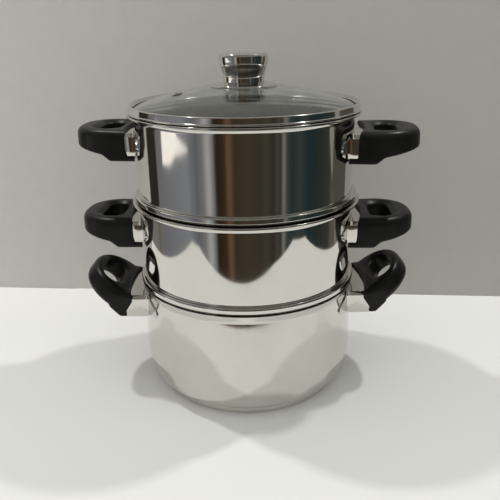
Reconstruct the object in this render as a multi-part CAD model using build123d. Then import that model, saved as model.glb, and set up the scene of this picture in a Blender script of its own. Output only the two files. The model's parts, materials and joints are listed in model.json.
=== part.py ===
"""Three-tier steel steamer pot: a bellied pot, two stacking baskets and a glass lid.

Each function returns one physical piece, in millimetres, +Z up.  The origin is the middle
of the underside of the base, on the axis of the stack.  A handle and its fittings are drawn
on the +X side and turned into place.
"""
import math
import os

from build123d import *

os.makedirs("parts", exist_ok=True)

# Sheet steel bodies: sizes that pot and baskets share
BODY_RADIUS = 100.0
SHEET = 0.8
BODY_GAP = 0.2
FIT_GAP = 0.05
CUT_OVERRUN = 5.0

# Pot
POT_HEIGHT = 106.0
POT_RIM_REACH = 3.7
POT_RIM_RADIUS = BODY_RADIUS + POT_RIM_REACH
POT_MOUTH_FLARE = 2.3
POT_MOUTH_RADIUS = BODY_RADIUS + POT_MOUTH_FLARE
POT_MOUTH_ROUND = 1.04
POT_NECK_DROP = 7.0
POT_NECK_ROUND = 6.0
BELLY_SWELL = 3.0
BELLY_RADIUS = BODY_RADIUS + BELLY_SWELL
BELLY_HEIGHT = 42.0
POT_FLOOR_INSET = 15.0
POT_FLOOR_RADIUS = BELLY_RADIUS - POT_FLOOR_INSET
POT_CORNER_ROUND = 11.0

# Sandwich base
BASE_INSET = 12.9
BASE_RADIUS = BELLY_RADIUS - BASE_INSET
BASE_HEIGHT = 6.4
CAPSULE_SHEET = 0.6
CAPSULE_HEIGHT = 5.7
CAPSULE_ROUND = 1.2

# Steamer baskets
TIER_HEIGHT = 78.9
FLARE_ROUND = 5.7
TIER_RIM_REACH = 6.9
TIER_RIM_RADIUS = BODY_RADIUS + TIER_RIM_REACH
RIM_LIP = 1.6
LIP_ROUND = 0.2
BEAD_REACH = 4.1
BEAD_RADIUS = BODY_RADIUS + BEAD_REACH
BEAD_HEIGHT = 6.5
BEAD_ROUND = 2.0
BEAD_EDGE_ROUND = 1.3
BEAD_SHOULDER_ROUND = 0.9
SEAT_ANGLE = 53.17
SEAT_EDGE_REACH = 2.8
SEAT_EDGE_RADIUS = BODY_RADIUS + SEAT_EDGE_REACH
SPIGOT_INSET = 1.6
SPIGOT_RADIUS = BODY_RADIUS - SPIGOT_INSET
SPIGOT_DEPTH = 15.0
SPIGOT_CORNER = 5.0
SPIGOT_THROAT_ROUND = 2.0
STEAM_HOLE = 7.0
STEAM_RINGS = 5
STEAM_MARGIN = 20.9
STEAM_RING_PITCH = (SPIGOT_RADIUS - STEAM_MARGIN) / STEAM_RINGS
STEAM_HOLES_PER_RING = 6
MIDDLE_TURN = -3.5
TOP_TURN = -8.0

# Handles: sizes that all six share
HANDLE_WIDTH = 75.0
LOOP_REACH = 30.3
NOSE_SAG = 10.0
NOSE_CORNER = 34.0
LOOP_ROUND = 7.0
ROOT_ROUND = 3.5
FINGER_LENGTH = 43.0
FINGER_WIDTH = 19.0
FINGER_RIM = 5.0
FINGER_DISH = 3.0
TENON_LENGTH = 5.0
TENON_GAP = 0.15

# Basket handles, as radii from the axis and drops below the basket's rim
TIER_FERRULE_REACH = 9.7
TIER_FERRULE_RADIUS = BODY_RADIUS + TIER_FERRULE_REACH
TIER_LOOP_REACH = 17.8
TIER_LOOP_RADIUS = TIER_FERRULE_RADIUS + TIER_LOOP_REACH
TIER_LOOP_DROP = 23.1
TIER_LOOP_TILT = 1.6
TIER_LOOP_THICKNESS = 18.5
TIER_FERRULE_DROP = 17.0
TIER_FERRULE_DEPTH = 21.0
TIER_NOSE_DROP = 29.0
TIER_HEEL_REACH = 16.3
TIER_HEEL_RADIUS = TIER_FERRULE_RADIUS + TIER_HEEL_REACH
TIER_HEEL_DROP = 36.0
TIER_HEEL_ROUND = 7.0
TIER_FOOT_REACH = 9.3
TIER_FOOT_RADIUS = TIER_FERRULE_RADIUS + TIER_FOOT_REACH
TIER_FOOT_DROP = 42.0
TIER_FOOT_ROUND = 5.0
TIER_TOE_GAP = 1.0

# Pot handles, as radii from the axis and drops below the pot's rim
POT_FERRULE_REACH = 14.0
POT_FERRULE_RADIUS = BELLY_RADIUS + POT_FERRULE_REACH
POT_LOOP_REACH = 13.4
POT_LOOP_RADIUS = POT_FERRULE_RADIUS + POT_LOOP_REACH
POT_LOOP_DROP = 8.8
POT_LOOP_TILT = 39.0
POT_LOOP_THICKNESS = 21.2
POT_LOOP_TAIL = 14.0
POT_FINGER_SHIFT = 9.5
POT_FERRULE_FLARE = 6.0
POT_FERRULE_DROP = 9.3
POT_FERRULE_DEPTH = 21.7
POT_WAIST_DROP = 14.7
POT_SLANT_DEPTH = 9.8
POT_CREST_REACH = 2.0
POT_CREST_RADIUS = POT_FERRULE_RADIUS + POT_CREST_REACH
POT_CREST_RISE = 3.0
POT_SHOULDER_REACH = 11.0
POT_SHOULDER_RADIUS = POT_FERRULE_RADIUS + POT_SHOULDER_REACH
POT_SHOULDER_RISE = 7.0
POT_KNEE_REACH = 17.5
POT_KNEE_RADIUS = POT_FERRULE_RADIUS + POT_KNEE_REACH
POT_KNEE_DROP = 19.5
POT_FOOT_REACH = 7.0
POT_FOOT_RADIUS = POT_FERRULE_RADIUS + POT_FOOT_REACH

# Ferrules, brackets and handle screws
FERRULE_SHEET = 0.8
FERRULE_CHAMFER_WIDTH = 3.5
FERRULE_CHAMFER_DEPTH = 3.0
PLATE_SHEET = 1.2
PLATE_OVERHANG = 9.0
POT_PLATE_OVERHANG = 19.0
PLATE_ROUNDNESS_SHARE = 0.55
TONGUE_WIDTH = 26.0
TONGUE_HEIGHT = 11.0
TONGUE_SETBACK = 1.0
POCKET_GAP = 0.3
SCREW_RADIUS = 2.5
SCREW_LENGTH = 11.0
SCREW_HEAD_RADIUS = 4.5
SCREW_HEAD_HEIGHT = 2.8
SCREW_HEAD_ROUND = 1.0
SCREW_WEB = 4.0
SCREW_SLOT_WIDTH = 1.1
SCREW_SLOT_DEPTH = 1.3
SCREW_BORE_GAP = 0.3

# Glass of the lid
GLASS_REACH = 0.5
GLASS_RADIUS = BODY_RADIUS + GLASS_REACH
GLASS_THICKNESS = 3.0
GLASS_RISE = 18.5
GLASS_SEAT_GAP = 0.3
GLASS_EDGE_ROUND = 1.0
GLASS_BORE_RADIUS = 5.0

# Steel band round the glass
BAND_SHEET = 0.5
BAND_FACE_REACH = 4.7
BAND_FACE_RADIUS = BODY_RADIUS + BAND_FACE_REACH
BAND_FOLD_INSET = 3.5
BAND_FOLD_RADIUS = GLASS_RADIUS - BAND_FOLD_INSET
BAND_CROWN_RISE = 0.9
BAND_ROUND = 2.0
BAND_LIP_REACH = 0.9
BAND_LIP_RADIUS = BAND_FACE_RADIUS + BAND_LIP_REACH
BAND_LIP_TOP = 2.2
BAND_LIP_SHOULDER = 0.5
BAND_LIP_BOTTOM = 0.8
BAND_LIP_ROUND = 0.6
BAND_REST_INSET = 0.3
BAND_REST_RADIUS = BAND_FACE_RADIUS - BAND_REST_INSET
BAND_SKIRT_INSET = 4.7
BAND_SKIRT_RADIUS = BAND_FACE_RADIUS - BAND_SKIRT_INSET
BAND_SKIRT_DEPTH = 3.0
BAND_SKIRT_LEAN = 0.6

# Steam vent
VENT_RADIUS = 61.0
VENT_ANGLE = 194.0
VENT_BORE_RADIUS = 2.2
VENT_TUBE_WALL = 0.5
VENT_FLANGE_RADIUS = 5.0
VENT_FLANGE_SHEET = 0.8

# Knob and what holds it
KNOB_HEIGHT = 24.9
KNOB_FOOT_RADIUS = 18.7
KNOB_WAIST_RISE = 5.0
KNOB_CROWN_RADIUS = 22.3
KNOB_CROWN_RISE = 19.0
KNOB_CROWN_ROUND = 3.6
KNOB_DOME = 0.8
KNOB_SHEET = 0.7
FLANGE_RADIUS = 30.4
FLANGE_SHEET = 0.8
FLANGE_BRIM_RISE = 2.2
FLANGE_EDGE_DROP = 1.5
FLANGE_EDGE_ROUND = 1.0
INSERT_RADIUS = 4.5
INSERT_LENGTH = 12.0
KNOB_SCREW_RADIUS = 2.5
KNOB_SCREW_BITE = 9.0
KNOB_SCREW_HEAD_RADIUS = 5.0
KNOB_SCREW_HEAD_HEIGHT = 2.6
WASHER_RADIUS = 11.0
WASHER_HEIGHT = 1.2


def turned(line_or_outline):
    """Turn a closed outline, drawn as radius and height, about the axis of the stack."""
    return revolve(Plane.XZ * make_face(line_or_outline), Axis.Z)


def pressed(line, sheet, side):
    """Give a line, drawn as radius and height, its sheet thickness and turn it."""
    return turned(offset(line, sheet, side=side).edges())


def disc(radius, low, high):
    """Cylinder about the axis between two heights."""
    return Pos(0, 0, low) * extrude(Circle(radius), high - low)


def rod(radius, inner, outer, height):
    """Cylinder that points outwards along X, between two distances from the axis."""
    return extrude(Plane.YZ.offset(inner) * Pos(0, height) * Circle(radius), outer - inner)


# Heights at which the bodies rest in one another

def mouth_centre_radius():
    """Radius of the circle that the round of the pot's mouth is drawn from."""
    rise = POT_NECK_DROP - SHEET
    lean = math.atan2(POT_MOUTH_RADIUS - BODY_RADIUS, rise)
    share = (rise - POT_MOUTH_ROUND) / rise
    return BODY_RADIUS + (POT_MOUTH_RADIUS - BODY_RADIUS) * share + POT_MOUTH_ROUND / math.cos(lean)


def seat_rise(centre_radius, mouth_round):
    """Height of a basket's seat edge over the rounded mouth that its cone rests in."""
    slope = math.tan(math.radians(SEAT_ANGLE))
    clear = (mouth_round + BODY_GAP) * math.hypot(1, slope)
    return clear - mouth_round - slope * (centre_radius - SEAT_EDGE_RADIUS)


MIDDLE_SEAT = POT_HEIGHT + seat_rise(mouth_centre_radius(), POT_MOUTH_ROUND + SHEET)
MIDDLE_RIM = MIDDLE_SEAT + TIER_HEIGHT
TOP_SEAT = MIDDLE_RIM + seat_rise(BODY_RADIUS + FLARE_ROUND, FLARE_ROUND + SHEET)
TOP_RIM = TOP_SEAT + TIER_HEIGHT
LID_REST = TOP_RIM + BODY_GAP


# Pot and its sandwich base

def bulge(thickness):
    """Arc of the pot's side from the belly to the neck, moved outwards by a thickness."""
    rise = POT_HEIGHT - POT_NECK_DROP - BELLY_HEIGHT
    lean_in = BELLY_RADIUS - BODY_RADIUS
    radius = (rise**2 + lean_in**2) / (2 * lean_in)
    sweep = math.degrees(math.asin(rise / radius))
    return CenterArc((BELLY_RADIUS - radius, BELLY_HEIGHT), radius + thickness, 0, sweep)


def corner_arcs():
    """Two arcs from the floor's edge to the belly: a tight corner, then the lower side."""
    run = BELLY_RADIUS - POT_FLOOR_RADIUS
    rise = BELLY_HEIGHT - BASE_HEIGHT - POT_CORNER_ROUND
    side_round = (run**2 + rise**2 - POT_CORNER_ROUND**2) / (2 * (run - POT_CORNER_ROUND))
    corner_centre = Vector(POT_FLOOR_RADIUS, BASE_HEIGHT + POT_CORNER_ROUND)
    side_centre = Vector(BELLY_RADIUS - side_round, BELLY_HEIGHT)
    outwards = (corner_centre - side_centre).normalized()
    touch = corner_centre + outwards * POT_CORNER_ROUND
    corner = TangentArc((POT_FLOOR_RADIUS, BASE_HEIGHT), touch, tangent=(1, 0))
    return corner + TangentArc(touch, (BELLY_RADIUS, BELLY_HEIGHT), tangent=(-outwards.Y, outwards.X))


def pot_body():
    """Deep-drawn pot: flat floor, full corner, bulging side, neck and rounded mouth."""
    side = bulge(0)
    neck = side @ 1
    mouth = Vector(POT_MOUTH_RADIUS, POT_HEIGHT - SHEET)
    line = Line((0, BASE_HEIGHT), (POT_FLOOR_RADIUS, BASE_HEIGHT)) + corner_arcs() + side
    line += FilletPolyline(neck, mouth, (POT_RIM_RADIUS, mouth.Y), radius=[POT_MOUTH_ROUND])
    line = fillet(line.vertices().sort_by_distance(neck)[0], POT_NECK_ROUND)
    return pressed(line, SHEET, Side.LEFT)


def base_cap():
    """Steel capsule under the pot, with a rounded lower edge."""
    cap = disc(BASE_RADIUS, 0, CAPSULE_HEIGHT)
    cap = fillet(cap.edges().sort_by(Axis.Z)[0], CAPSULE_ROUND)
    hollow = disc(BASE_RADIUS - CAPSULE_SHEET, CAPSULE_SHEET, CAPSULE_HEIGHT + CUT_OVERRUN)
    hollow = fillet(hollow.edges().sort_by(Axis.Z)[0], CAPSULE_ROUND - CAPSULE_SHEET)
    return cap - hollow


def base_core():
    """Aluminium disc between the capsule and the pot."""
    core = disc(BASE_RADIUS - CAPSULE_SHEET - FIT_GAP, CAPSULE_SHEET, BASE_HEIGHT)
    return chamfer(core.edges().sort_by(Axis.Z)[0], CAPSULE_ROUND)


# Steamer baskets

def basket_line(seat, rim):
    """Outer line of a basket from the middle of its floor to the lip of its rim."""
    floor = seat - SPIGOT_DEPTH
    slope = math.tan(math.radians(SEAT_ANGLE))
    throat = seat - slope * (SEAT_EDGE_RADIUS - SPIGOT_RADIUS)
    edge = seat + slope * (BEAD_RADIUS - SEAT_EDGE_RADIUS)
    lip = TIER_RIM_RADIUS - SHEET
    corners = [
        (SPIGOT_RADIUS, floor, SPIGOT_CORNER),
        (SPIGOT_RADIUS, throat, SPIGOT_THROAT_ROUND),
        (BEAD_RADIUS, edge, BEAD_EDGE_ROUND),
        (BEAD_RADIUS, seat + BEAD_HEIGHT, BEAD_ROUND),
        (BODY_RADIUS, seat + BEAD_HEIGHT, BEAD_SHOULDER_ROUND),
        (BODY_RADIUS, rim - SHEET, FLARE_ROUND),
        (lip, rim - SHEET, LIP_ROUND),
    ]
    points = [(0, floor)] + [(radius, height) for radius, height, _ in corners]
    points.append((lip, rim - RIM_LIP))
    return FilletPolyline(*points, radius=[bend for _, _, bend in corners])


def steam_holes(floor):
    """Rings of round holes, with as many more in each ring as the ring is longer."""
    places = [(0, 0)]
    for ring in range(1, STEAM_RINGS + 1):
        count = STEAM_HOLES_PER_RING * ring
        for step in range(count):
            angle = 2 * math.pi * step / count
            radius = STEAM_RING_PITCH * ring
            places.append((radius * math.cos(angle), radius * math.sin(angle)))
    holes = Sketch() + [Pos(x, y) * Circle(STEAM_HOLE / 2) for x, y in places]
    return Pos(0, 0, floor - CUT_OVERRUN) * extrude(holes, SHEET + 2 * CUT_OVERRUN)


def basket(seat, rim):
    """Basket pressed from one sheet, with a pierced floor."""
    body = pressed(basket_line(seat, rim), SHEET, Side.LEFT)
    return body - steam_holes(seat - SPIGOT_DEPTH)


# Handles

class HandleSet:
    """One handle with its ferrule, bracket and screw; the sizes come from its vessel."""

    def section(self, inset):
        """Section of the ferrule across the handle, as width and height."""
        half = HANDLE_WIDTH / 2 - inset
        top = self.top - inset
        bottom = self.top - self.depth + inset
        corner = half - FERRULE_CHAMFER_WIDTH
        shoulder = top - FERRULE_CHAMFER_DEPTH
        right = [(corner, top), (half, shoulder), (half, bottom)]
        left = [(-x, y) for x, y in reversed(right)]
        return Plane.YZ * make_face(Polyline(*right, *left, close=True))

    def loop_plane(self):
        """Plane of the loop: X runs outwards along it, and Z is the way of its finger hole."""
        tilt = math.radians(self.tilt)
        along = (math.cos(tilt), 0, math.sin(tilt))
        across = (-math.sin(tilt), 0, math.cos(tilt))
        return Plane(origin=(self.loop_radius, 0, self.loop_height), x_dir=along, z_dir=across)

    def plan(self):
        """Outline of the loop in its own plane, with a full, rounded nose."""
        half = HANDLE_WIDTH / 2
        start = LOOP_REACH - NOSE_SAG
        nose = ThreePointArc((start, half), (LOOP_REACH, 0), (start, -half))
        tail = -self.loop_tail
        back = Polyline((start, -half), (tail, -half), (tail, half), (start, half))
        outline = make_face(nose + back)
        return fillet(outline.vertices().sort_by(Axis.X)[-2:], NOSE_CORNER)

    def finger_hole(self):
        """Long hole through the loop, with a dish at each face that is flat."""
        hole = SlotOverall(FINGER_LENGTH, FINGER_WIDTH, rotation=90)
        rim = SlotOverall(FINGER_LENGTH + 2 * FINGER_RIM, FINGER_WIDTH + 2 * FINGER_RIM, rotation=90)
        cut = extrude(hole, self.thickness, both=True)
        for side in self.flat_sides:
            face = side * self.thickness / 2
            inner = face - side * FINGER_DISH
            cut += loft([Pos(0, 0, inner) * hole, Pos(0, 0, face) * rim], ruled=True)
        return self.loop_plane() * Pos(self.finger_shift, 0, 0) * cut

    def tenon(self):
        """End of the handle that enters the ferrule."""
        plug = extrude(self.section(FERRULE_SHEET + TENON_GAP), self.loop_radius)
        inside = disc(self.ferrule_radius - TENON_LENGTH, 0, self.top + CUT_OVERRUN)
        return plug & self.limit(0, SCREW_WEB / 2) - inside

    def tongue(self, gap):
        """Bar that carries the screw, or the pocket for it when a gap is given."""
        width = TONGUE_WIDTH + 2 * gap
        height = TONGUE_HEIGHT + 2 * gap
        middle = Pos(0, self.screw_height) * Rectangle(width, height)
        return extrude(Plane.YZ * middle, self.tongue_end + gap)

    def head_seat(self):
        """Distance from the axis to the shoulder under the screw's head."""
        return self.tongue_end + POCKET_GAP + SCREW_WEB

    def handle(self):
        """Moulded handle: its body, less the ferrule, finger hole and screw's way."""
        solid = self.moulding()
        solid -= self.limit(self.toe_height(), FIT_GAP)
        solid -= self.wall(PLATE_SHEET + TIER_TOE_GAP)
        solid += self.tenon()
        solid -= self.tongue(POCKET_GAP)
        solid -= self.finger_hole()
        seat = self.head_seat()
        solid -= rod(SCREW_RADIUS + SCREW_BORE_GAP, 0, self.way_end, self.screw_height)
        solid -= rod(SCREW_HEAD_RADIUS + SCREW_BORE_GAP, seat, self.way_end, self.screw_height)
        return solid

    def ferrule(self):
        """Steel sleeve between the vessel's bracket and the handle."""
        sleeve = extrude(self.section(0), self.loop_radius)
        sleeve -= extrude(self.section(FERRULE_SHEET), self.loop_radius)
        return (sleeve & self.limit(0, 0)) - self.wall(PLATE_SHEET + FIT_GAP)

    def bracket(self):
        """Plate that hugs the vessel's wall, with the threaded tongue."""
        half_width = HANDLE_WIDTH / 2 + self.overhang
        half_height = self.depth / 2
        full = PLATE_ROUNDNESS_SHARE
        quarter = Bezier(
            (0, half_height),
            (half_width * full, half_height),
            (half_width, half_height * full),
            (half_width, 0),
        )
        upper = quarter + mirror(quarter, Plane.YZ)
        oval = make_face(upper + mirror(upper, Plane.XZ))
        plate = extrude(Plane.YZ * Pos(0, self.top - half_height) * oval, self.loop_radius)
        plate = (plate & self.wall(PLATE_SHEET)) - self.wall(0)
        tongue = self.tongue(0) - self.wall(0)
        thread_start = self.head_seat() - SCREW_LENGTH
        thread = rod(SCREW_RADIUS + FIT_GAP, thread_start, self.loop_radius, self.screw_height)
        return plate + tongue - thread

    def screw(self):
        """Round-headed screw with a cross slot, from the finger hole into the tongue."""
        seat = self.head_seat()
        shank = rod(SCREW_RADIUS, seat - SCREW_LENGTH + FIT_GAP, seat + FIT_GAP, self.screw_height)
        top = seat + FIT_GAP + SCREW_HEAD_HEIGHT
        head = rod(SCREW_HEAD_RADIUS, seat + FIT_GAP, top, self.screw_height)
        head = fillet(head.edges().sort_by(Axis.X)[-1], SCREW_HEAD_ROUND)
        bar = Rectangle(2 * SCREW_RADIUS, SCREW_SLOT_WIDTH)
        cross = Plane.YZ * Pos(0, self.screw_height) * (bar + Rot(0, 0, 90) * bar)
        slot = Pos(top, 0, 0) * extrude(cross, -SCREW_SLOT_DEPTH)
        return shank + head - slot


class BasketHandles(HandleSet):
    """Level handles of a steamer basket, on its straight wall."""

    def __init__(self, rim, turn):
        self.rim = rim
        self.turn = turn
        self.top = rim - TIER_FERRULE_DROP
        self.depth = TIER_FERRULE_DEPTH
        self.overhang = PLATE_OVERHANG
        self.ferrule_radius = TIER_FERRULE_RADIUS
        self.tongue_end = TIER_FERRULE_RADIUS - TONGUE_SETBACK
        self.loop_radius = TIER_LOOP_RADIUS
        self.loop_height = rim - TIER_LOOP_DROP
        self.loop_tail = TIER_LOOP_RADIUS - SPIGOT_RADIUS + SPIGOT_DEPTH
        self.thickness = TIER_LOOP_THICKNESS
        self.flat_sides = [1]
        self.finger_shift = 0
        self.tilt = TIER_LOOP_TILT
        self.way_end = TIER_LOOP_RADIUS
        self.screw_height = self.top - self.depth / 2

    def wall(self, thickness):
        """Space inside the vessel's wall and a thickness on it."""
        return disc(BODY_RADIUS + thickness, self.rim - TIER_HEIGHT, self.rim + CUT_OVERRUN)

    def limit(self, low, gap):
        """Space that the ferrule's outer edge stays in."""
        return disc(TIER_FERRULE_RADIUS + gap, low, self.rim + CUT_OVERRUN)

    def toe_height(self):
        """Level over which the ferrule has the space beside the wall to itself."""
        return self.top - self.depth - FIT_GAP

    def side_view(self):
        """Space over the underside: a wedge from the nose to the heel, then down to the toe."""
        inner = TIER_LOOP_RADIUS - self.loop_tail - CUT_OVERRUN
        outer = TIER_LOOP_RADIUS + LOOP_REACH + CUT_OVERRUN
        heel = (TIER_HEEL_RADIUS, self.rim - TIER_HEEL_DROP)
        foot = (TIER_FOOT_RADIUS, self.rim - TIER_FOOT_DROP)
        points = [(outer, self.rim - TIER_NOSE_DROP), heel, foot, (inner, self.rim - TIER_FOOT_DROP)]
        line = FilletPolyline(*points, radius=[TIER_HEEL_ROUND, TIER_FOOT_ROUND])
        line += Polyline(points[-1], (inner, self.rim), (outer, self.rim), points[0])
        return extrude(Plane.XZ * make_face(line), HANDLE_WIDTH, both=True)

    def moulding(self):
        """Flat-topped wedge with a low toe: its plan, drawn upright, over its underside."""
        slab = extrude(self.plan(), self.thickness / 2) + extrude(self.plan(), -TIER_HEIGHT / 2)
        solid = (self.loop_plane() * slab) & self.side_view()
        solid = fillet([edge for edge in solid.edges() if self.is_lower(edge)], ROOT_ROUND)
        return fillet(solid.faces().sort_by(Axis.Z)[-1].edges(), LOOP_ROUND)

    def is_lower(self, edge):
        """Whether an edge runs along the underside's outline, not up or straight across."""
        way = edge % 0.5
        across = edge.geom_type == GeomType.LINE and abs(way.Y) > abs(way.X)
        return edge.center().Z < self.loop_height and abs(way.Z) < 0.9 and not across


class PotHandles(HandleSet):
    """Raised handles of the pot, on its bulging side."""

    def __init__(self):
        self.turn = 0
        self.top = POT_HEIGHT - POT_FERRULE_DROP
        self.depth = POT_FERRULE_DEPTH
        self.overhang = POT_PLATE_OVERHANG
        self.ferrule_radius = POT_FERRULE_RADIUS
        self.tongue_end = POT_FERRULE_RADIUS - TONGUE_SETBACK
        self.loop_radius = POT_LOOP_RADIUS
        self.loop_height = POT_HEIGHT - POT_LOOP_DROP
        self.loop_tail = POT_LOOP_TAIL
        self.thickness = POT_LOOP_THICKNESS
        self.flat_sides = [1, -1]
        self.finger_shift = POT_FINGER_SHIFT
        self.tilt = POT_LOOP_TILT
        self.way_end = POT_KNEE_RADIUS + CUT_OVERRUN
        self.screw_height = self.top - self.depth / 2

    def wall(self, thickness):
        """Space inside the vessel's bulging side and a thickness on it."""
        side = bulge(thickness)
        low = side @ 0
        high = side @ 1
        return turned(side + Polyline(high, (0, high.Y), (0, low.Y), low))

    def limit(self, low, gap):
        """Space that the ferrule's outer edge stays in: narrow above, wide below."""
        upper = POT_FERRULE_RADIUS + gap
        lower = upper + POT_FERRULE_FLARE
        waist = POT_HEIGHT - POT_WAIST_DROP
        points = [
            (0, low),
            (lower, low),
            (lower, waist - POT_SLANT_DEPTH),
            (upper, waist),
            (upper, POT_HEIGHT),
            (0, POT_HEIGHT),
        ]
        return turned(Polyline(*points, close=True))

    def toe_height(self):
        """The pot's handle has no toe under its ferrule."""
        return 0

    def root(self):
        """Block between the ferrule and the raised loop, with soft long edges."""
        bottom = self.top - self.depth
        points = [
            (BODY_RADIUS, self.top),
            (POT_CREST_RADIUS, self.top + POT_CREST_RISE),
            (POT_SHOULDER_RADIUS, self.top + POT_SHOULDER_RISE),
            (POT_KNEE_RADIUS, POT_HEIGHT - POT_KNEE_DROP),
            (POT_FOOT_RADIUS, bottom),
            (BODY_RADIUS, bottom),
        ]
        side = FilletPolyline(*points, radius=[0] + 4 * [ROOT_ROUND] + [0], close=True)
        block = extrude(Plane.XZ * make_face(side), HANDLE_WIDTH / 2, both=True)
        return fillet(block.faces().filter_by(Axis.Y).edges(), ROOT_ROUND)

    def moulding(self):
        """Slab of the loop with all its edges rounded, grown onto the root."""
        slab = extrude(self.plan(), self.thickness / 2, both=True)
        faces = slab.faces().sort_by(Axis.Z)
        slab = fillet(faces[0].edges() + faces[-1].edges(), LOOP_ROUND)
        return self.loop_plane() * slab + self.root()


# Lid

GLASS_EDGE = LID_REST + BAND_SHEET + GLASS_SEAT_GAP + GLASS_THICKNESS
GLASS_TOP = GLASS_EDGE + GLASS_RISE


def dome_radius():
    """Radius of the sphere that the glass's upper face lies on."""
    return (GLASS_RADIUS**2 + GLASS_RISE**2) / (2 * GLASS_RISE)


def glass_height(radius):
    """Height of the glass's upper face at a distance from the axis."""
    return GLASS_TOP - dome_radius() + math.sqrt(dome_radius() ** 2 - radius**2)


def dome_line(radius, drop):
    """Arc of the glass from the axis out to a radius, lowered by a drop."""
    middle = radius / 2
    return ThreePointArc(
        (0, GLASS_TOP - drop),
        (middle, glass_height(middle) - drop),
        (radius, glass_height(radius) - drop),
    )


def vent_place():
    """Middle of the steam vent on the glass's upper face, leaning with the dome."""
    angle = math.radians(VENT_ANGLE)
    middle = Pos(VENT_RADIUS * math.cos(angle), VENT_RADIUS * math.sin(angle), glass_height(VENT_RADIUS))
    lean = math.degrees(math.asin(VENT_RADIUS / dome_radius()))
    return middle * Rot(0, 0, VENT_ANGLE) * Rot(0, lean, 0)


def lid_glass():
    """Domed glass with a bore for the knob's screw and one for the vent."""
    upper = dome_line(GLASS_RADIUS, 0)
    lower = dome_line(GLASS_RADIUS, GLASS_THICKNESS)
    glass = turned(upper + lower + Line(upper @ 0, lower @ 0) + Line(upper @ 1, lower @ 1))
    rims = glass.edges().filter_by(lambda edge: edge.bounding_box().size.X > GLASS_RADIUS)
    glass = fillet(rims, GLASS_EDGE_ROUND)
    glass -= disc(GLASS_BORE_RADIUS, GLASS_EDGE, GLASS_TOP + CUT_OVERRUN)
    bore = VENT_BORE_RADIUS + VENT_TUBE_WALL + FIT_GAP
    return glass - vent_place() * Cylinder(bore, 2 * GLASS_RISE)


def lid_band():
    """Steel band folded over the glass's edge, with a rolled lip and a skirt inside the rim."""
    fold = glass_height(BAND_FOLD_RADIUS) + FIT_GAP + BAND_SHEET
    crown = GLASS_EDGE + BAND_CROWN_RISE
    lip_top = LID_REST + BAND_LIP_TOP
    points = [
        (BAND_FOLD_RADIUS, fold),
        (BAND_FACE_RADIUS, crown),
        (BAND_FACE_RADIUS, lip_top),
        (BAND_LIP_RADIUS, lip_top - BAND_LIP_SHOULDER),
        (BAND_LIP_RADIUS, LID_REST + BAND_LIP_BOTTOM),
        (BAND_REST_RADIUS, LID_REST),
        (BAND_SKIRT_RADIUS, LID_REST),
        (BAND_SKIRT_RADIUS - BAND_SKIRT_LEAN, LID_REST - BAND_SKIRT_DEPTH),
    ]
    line = FilletPolyline(*points, radius=[BAND_ROUND] + 5 * [BAND_LIP_ROUND])
    return pressed(line, BAND_SHEET, Side.RIGHT)


def vent_grommet():
    """Steel eyelet in the glass: a flange above and a tube through."""
    bore = VENT_BORE_RADIUS
    tube = bore + VENT_TUBE_WALL
    below = GLASS_THICKNESS + VENT_FLANGE_SHEET
    above = FIT_GAP + VENT_FLANGE_SHEET
    flange = Pos(0, 0, FIT_GAP) * extrude(Circle(VENT_FLANGE_RADIUS), VENT_FLANGE_SHEET)
    flange = fillet(flange.edges().sort_by(Axis.Z)[-1], VENT_TUBE_WALL)
    stem = Pos(0, 0, -below) * extrude(Circle(tube), below + above)
    eyelet = flange + stem
    eyelet -= Pos(0, 0, -below) * extrude(Circle(bore), below + above + CUT_OVERRUN)
    return vent_place() * eyelet


# Knob

FLANGE_FOOT = glass_height(FLANGE_RADIUS - FLANGE_SHEET) + FIT_GAP
KNOB_FOOT = FLANGE_FOOT + FLANGE_EDGE_DROP + FLANGE_BRIM_RISE + FIT_GAP


def knob_flange():
    """Shallow brimmed disc under the knob, its edge turned down onto the glass."""
    brim = FLANGE_FOOT + FLANGE_EDGE_DROP
    line = FilletPolyline(
        (0, KNOB_FOOT - FIT_GAP),
        (KNOB_FOOT_RADIUS, KNOB_FOOT - FIT_GAP),
        (FLANGE_RADIUS - FLANGE_EDGE_ROUND, brim),
        (FLANGE_RADIUS, FLANGE_FOOT),
        radius=[FLANGE_BRIM_RISE, FLANGE_EDGE_ROUND],
    )
    dish = pressed(line, FLANGE_SHEET, Side.RIGHT)
    return dish - disc(KNOB_SCREW_RADIUS + SCREW_BORE_GAP, FLANGE_FOOT, KNOB_FOOT + CUT_OVERRUN)


def knob_cap():
    """Pressed steel shell: straight foot, flaring side and a rounded, slightly domed crown."""
    waist = Vector(KNOB_FOOT_RADIUS, KNOB_FOOT + KNOB_WAIST_RISE)
    crown = Vector(KNOB_CROWN_RADIUS, KNOB_FOOT + KNOB_CROWN_RISE)
    shoulder = KNOB_FOOT + KNOB_HEIGHT - KNOB_DOME
    flare = TangentArc(waist, (waist + crown) / 2, tangent=(0, 1))
    line = Line((KNOB_FOOT_RADIUS, KNOB_FOOT), waist) + flare
    line += TangentArc(flare @ 1, crown, tangent=flare % 1)
    line += FilletPolyline(
        crown,
        (crown.X, shoulder),
        (KNOB_FOOT_RADIUS / 2, KNOB_FOOT + KNOB_HEIGHT),
        (0, KNOB_FOOT + KNOB_HEIGHT),
        radius=[KNOB_CROWN_ROUND, KNOB_FOOT_RADIUS],
    )
    return pressed(line, KNOB_SHEET, Side.LEFT)


def knob_core():
    """Plastic plug that fills the shell and holds the threaded insert."""
    radius = KNOB_FOOT_RADIUS - KNOB_SHEET - FIT_GAP
    core = disc(radius, KNOB_FOOT, KNOB_FOOT + KNOB_CROWN_RISE)
    return core - disc(INSERT_RADIUS, KNOB_FOOT, KNOB_FOOT + INSERT_LENGTH)


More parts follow.
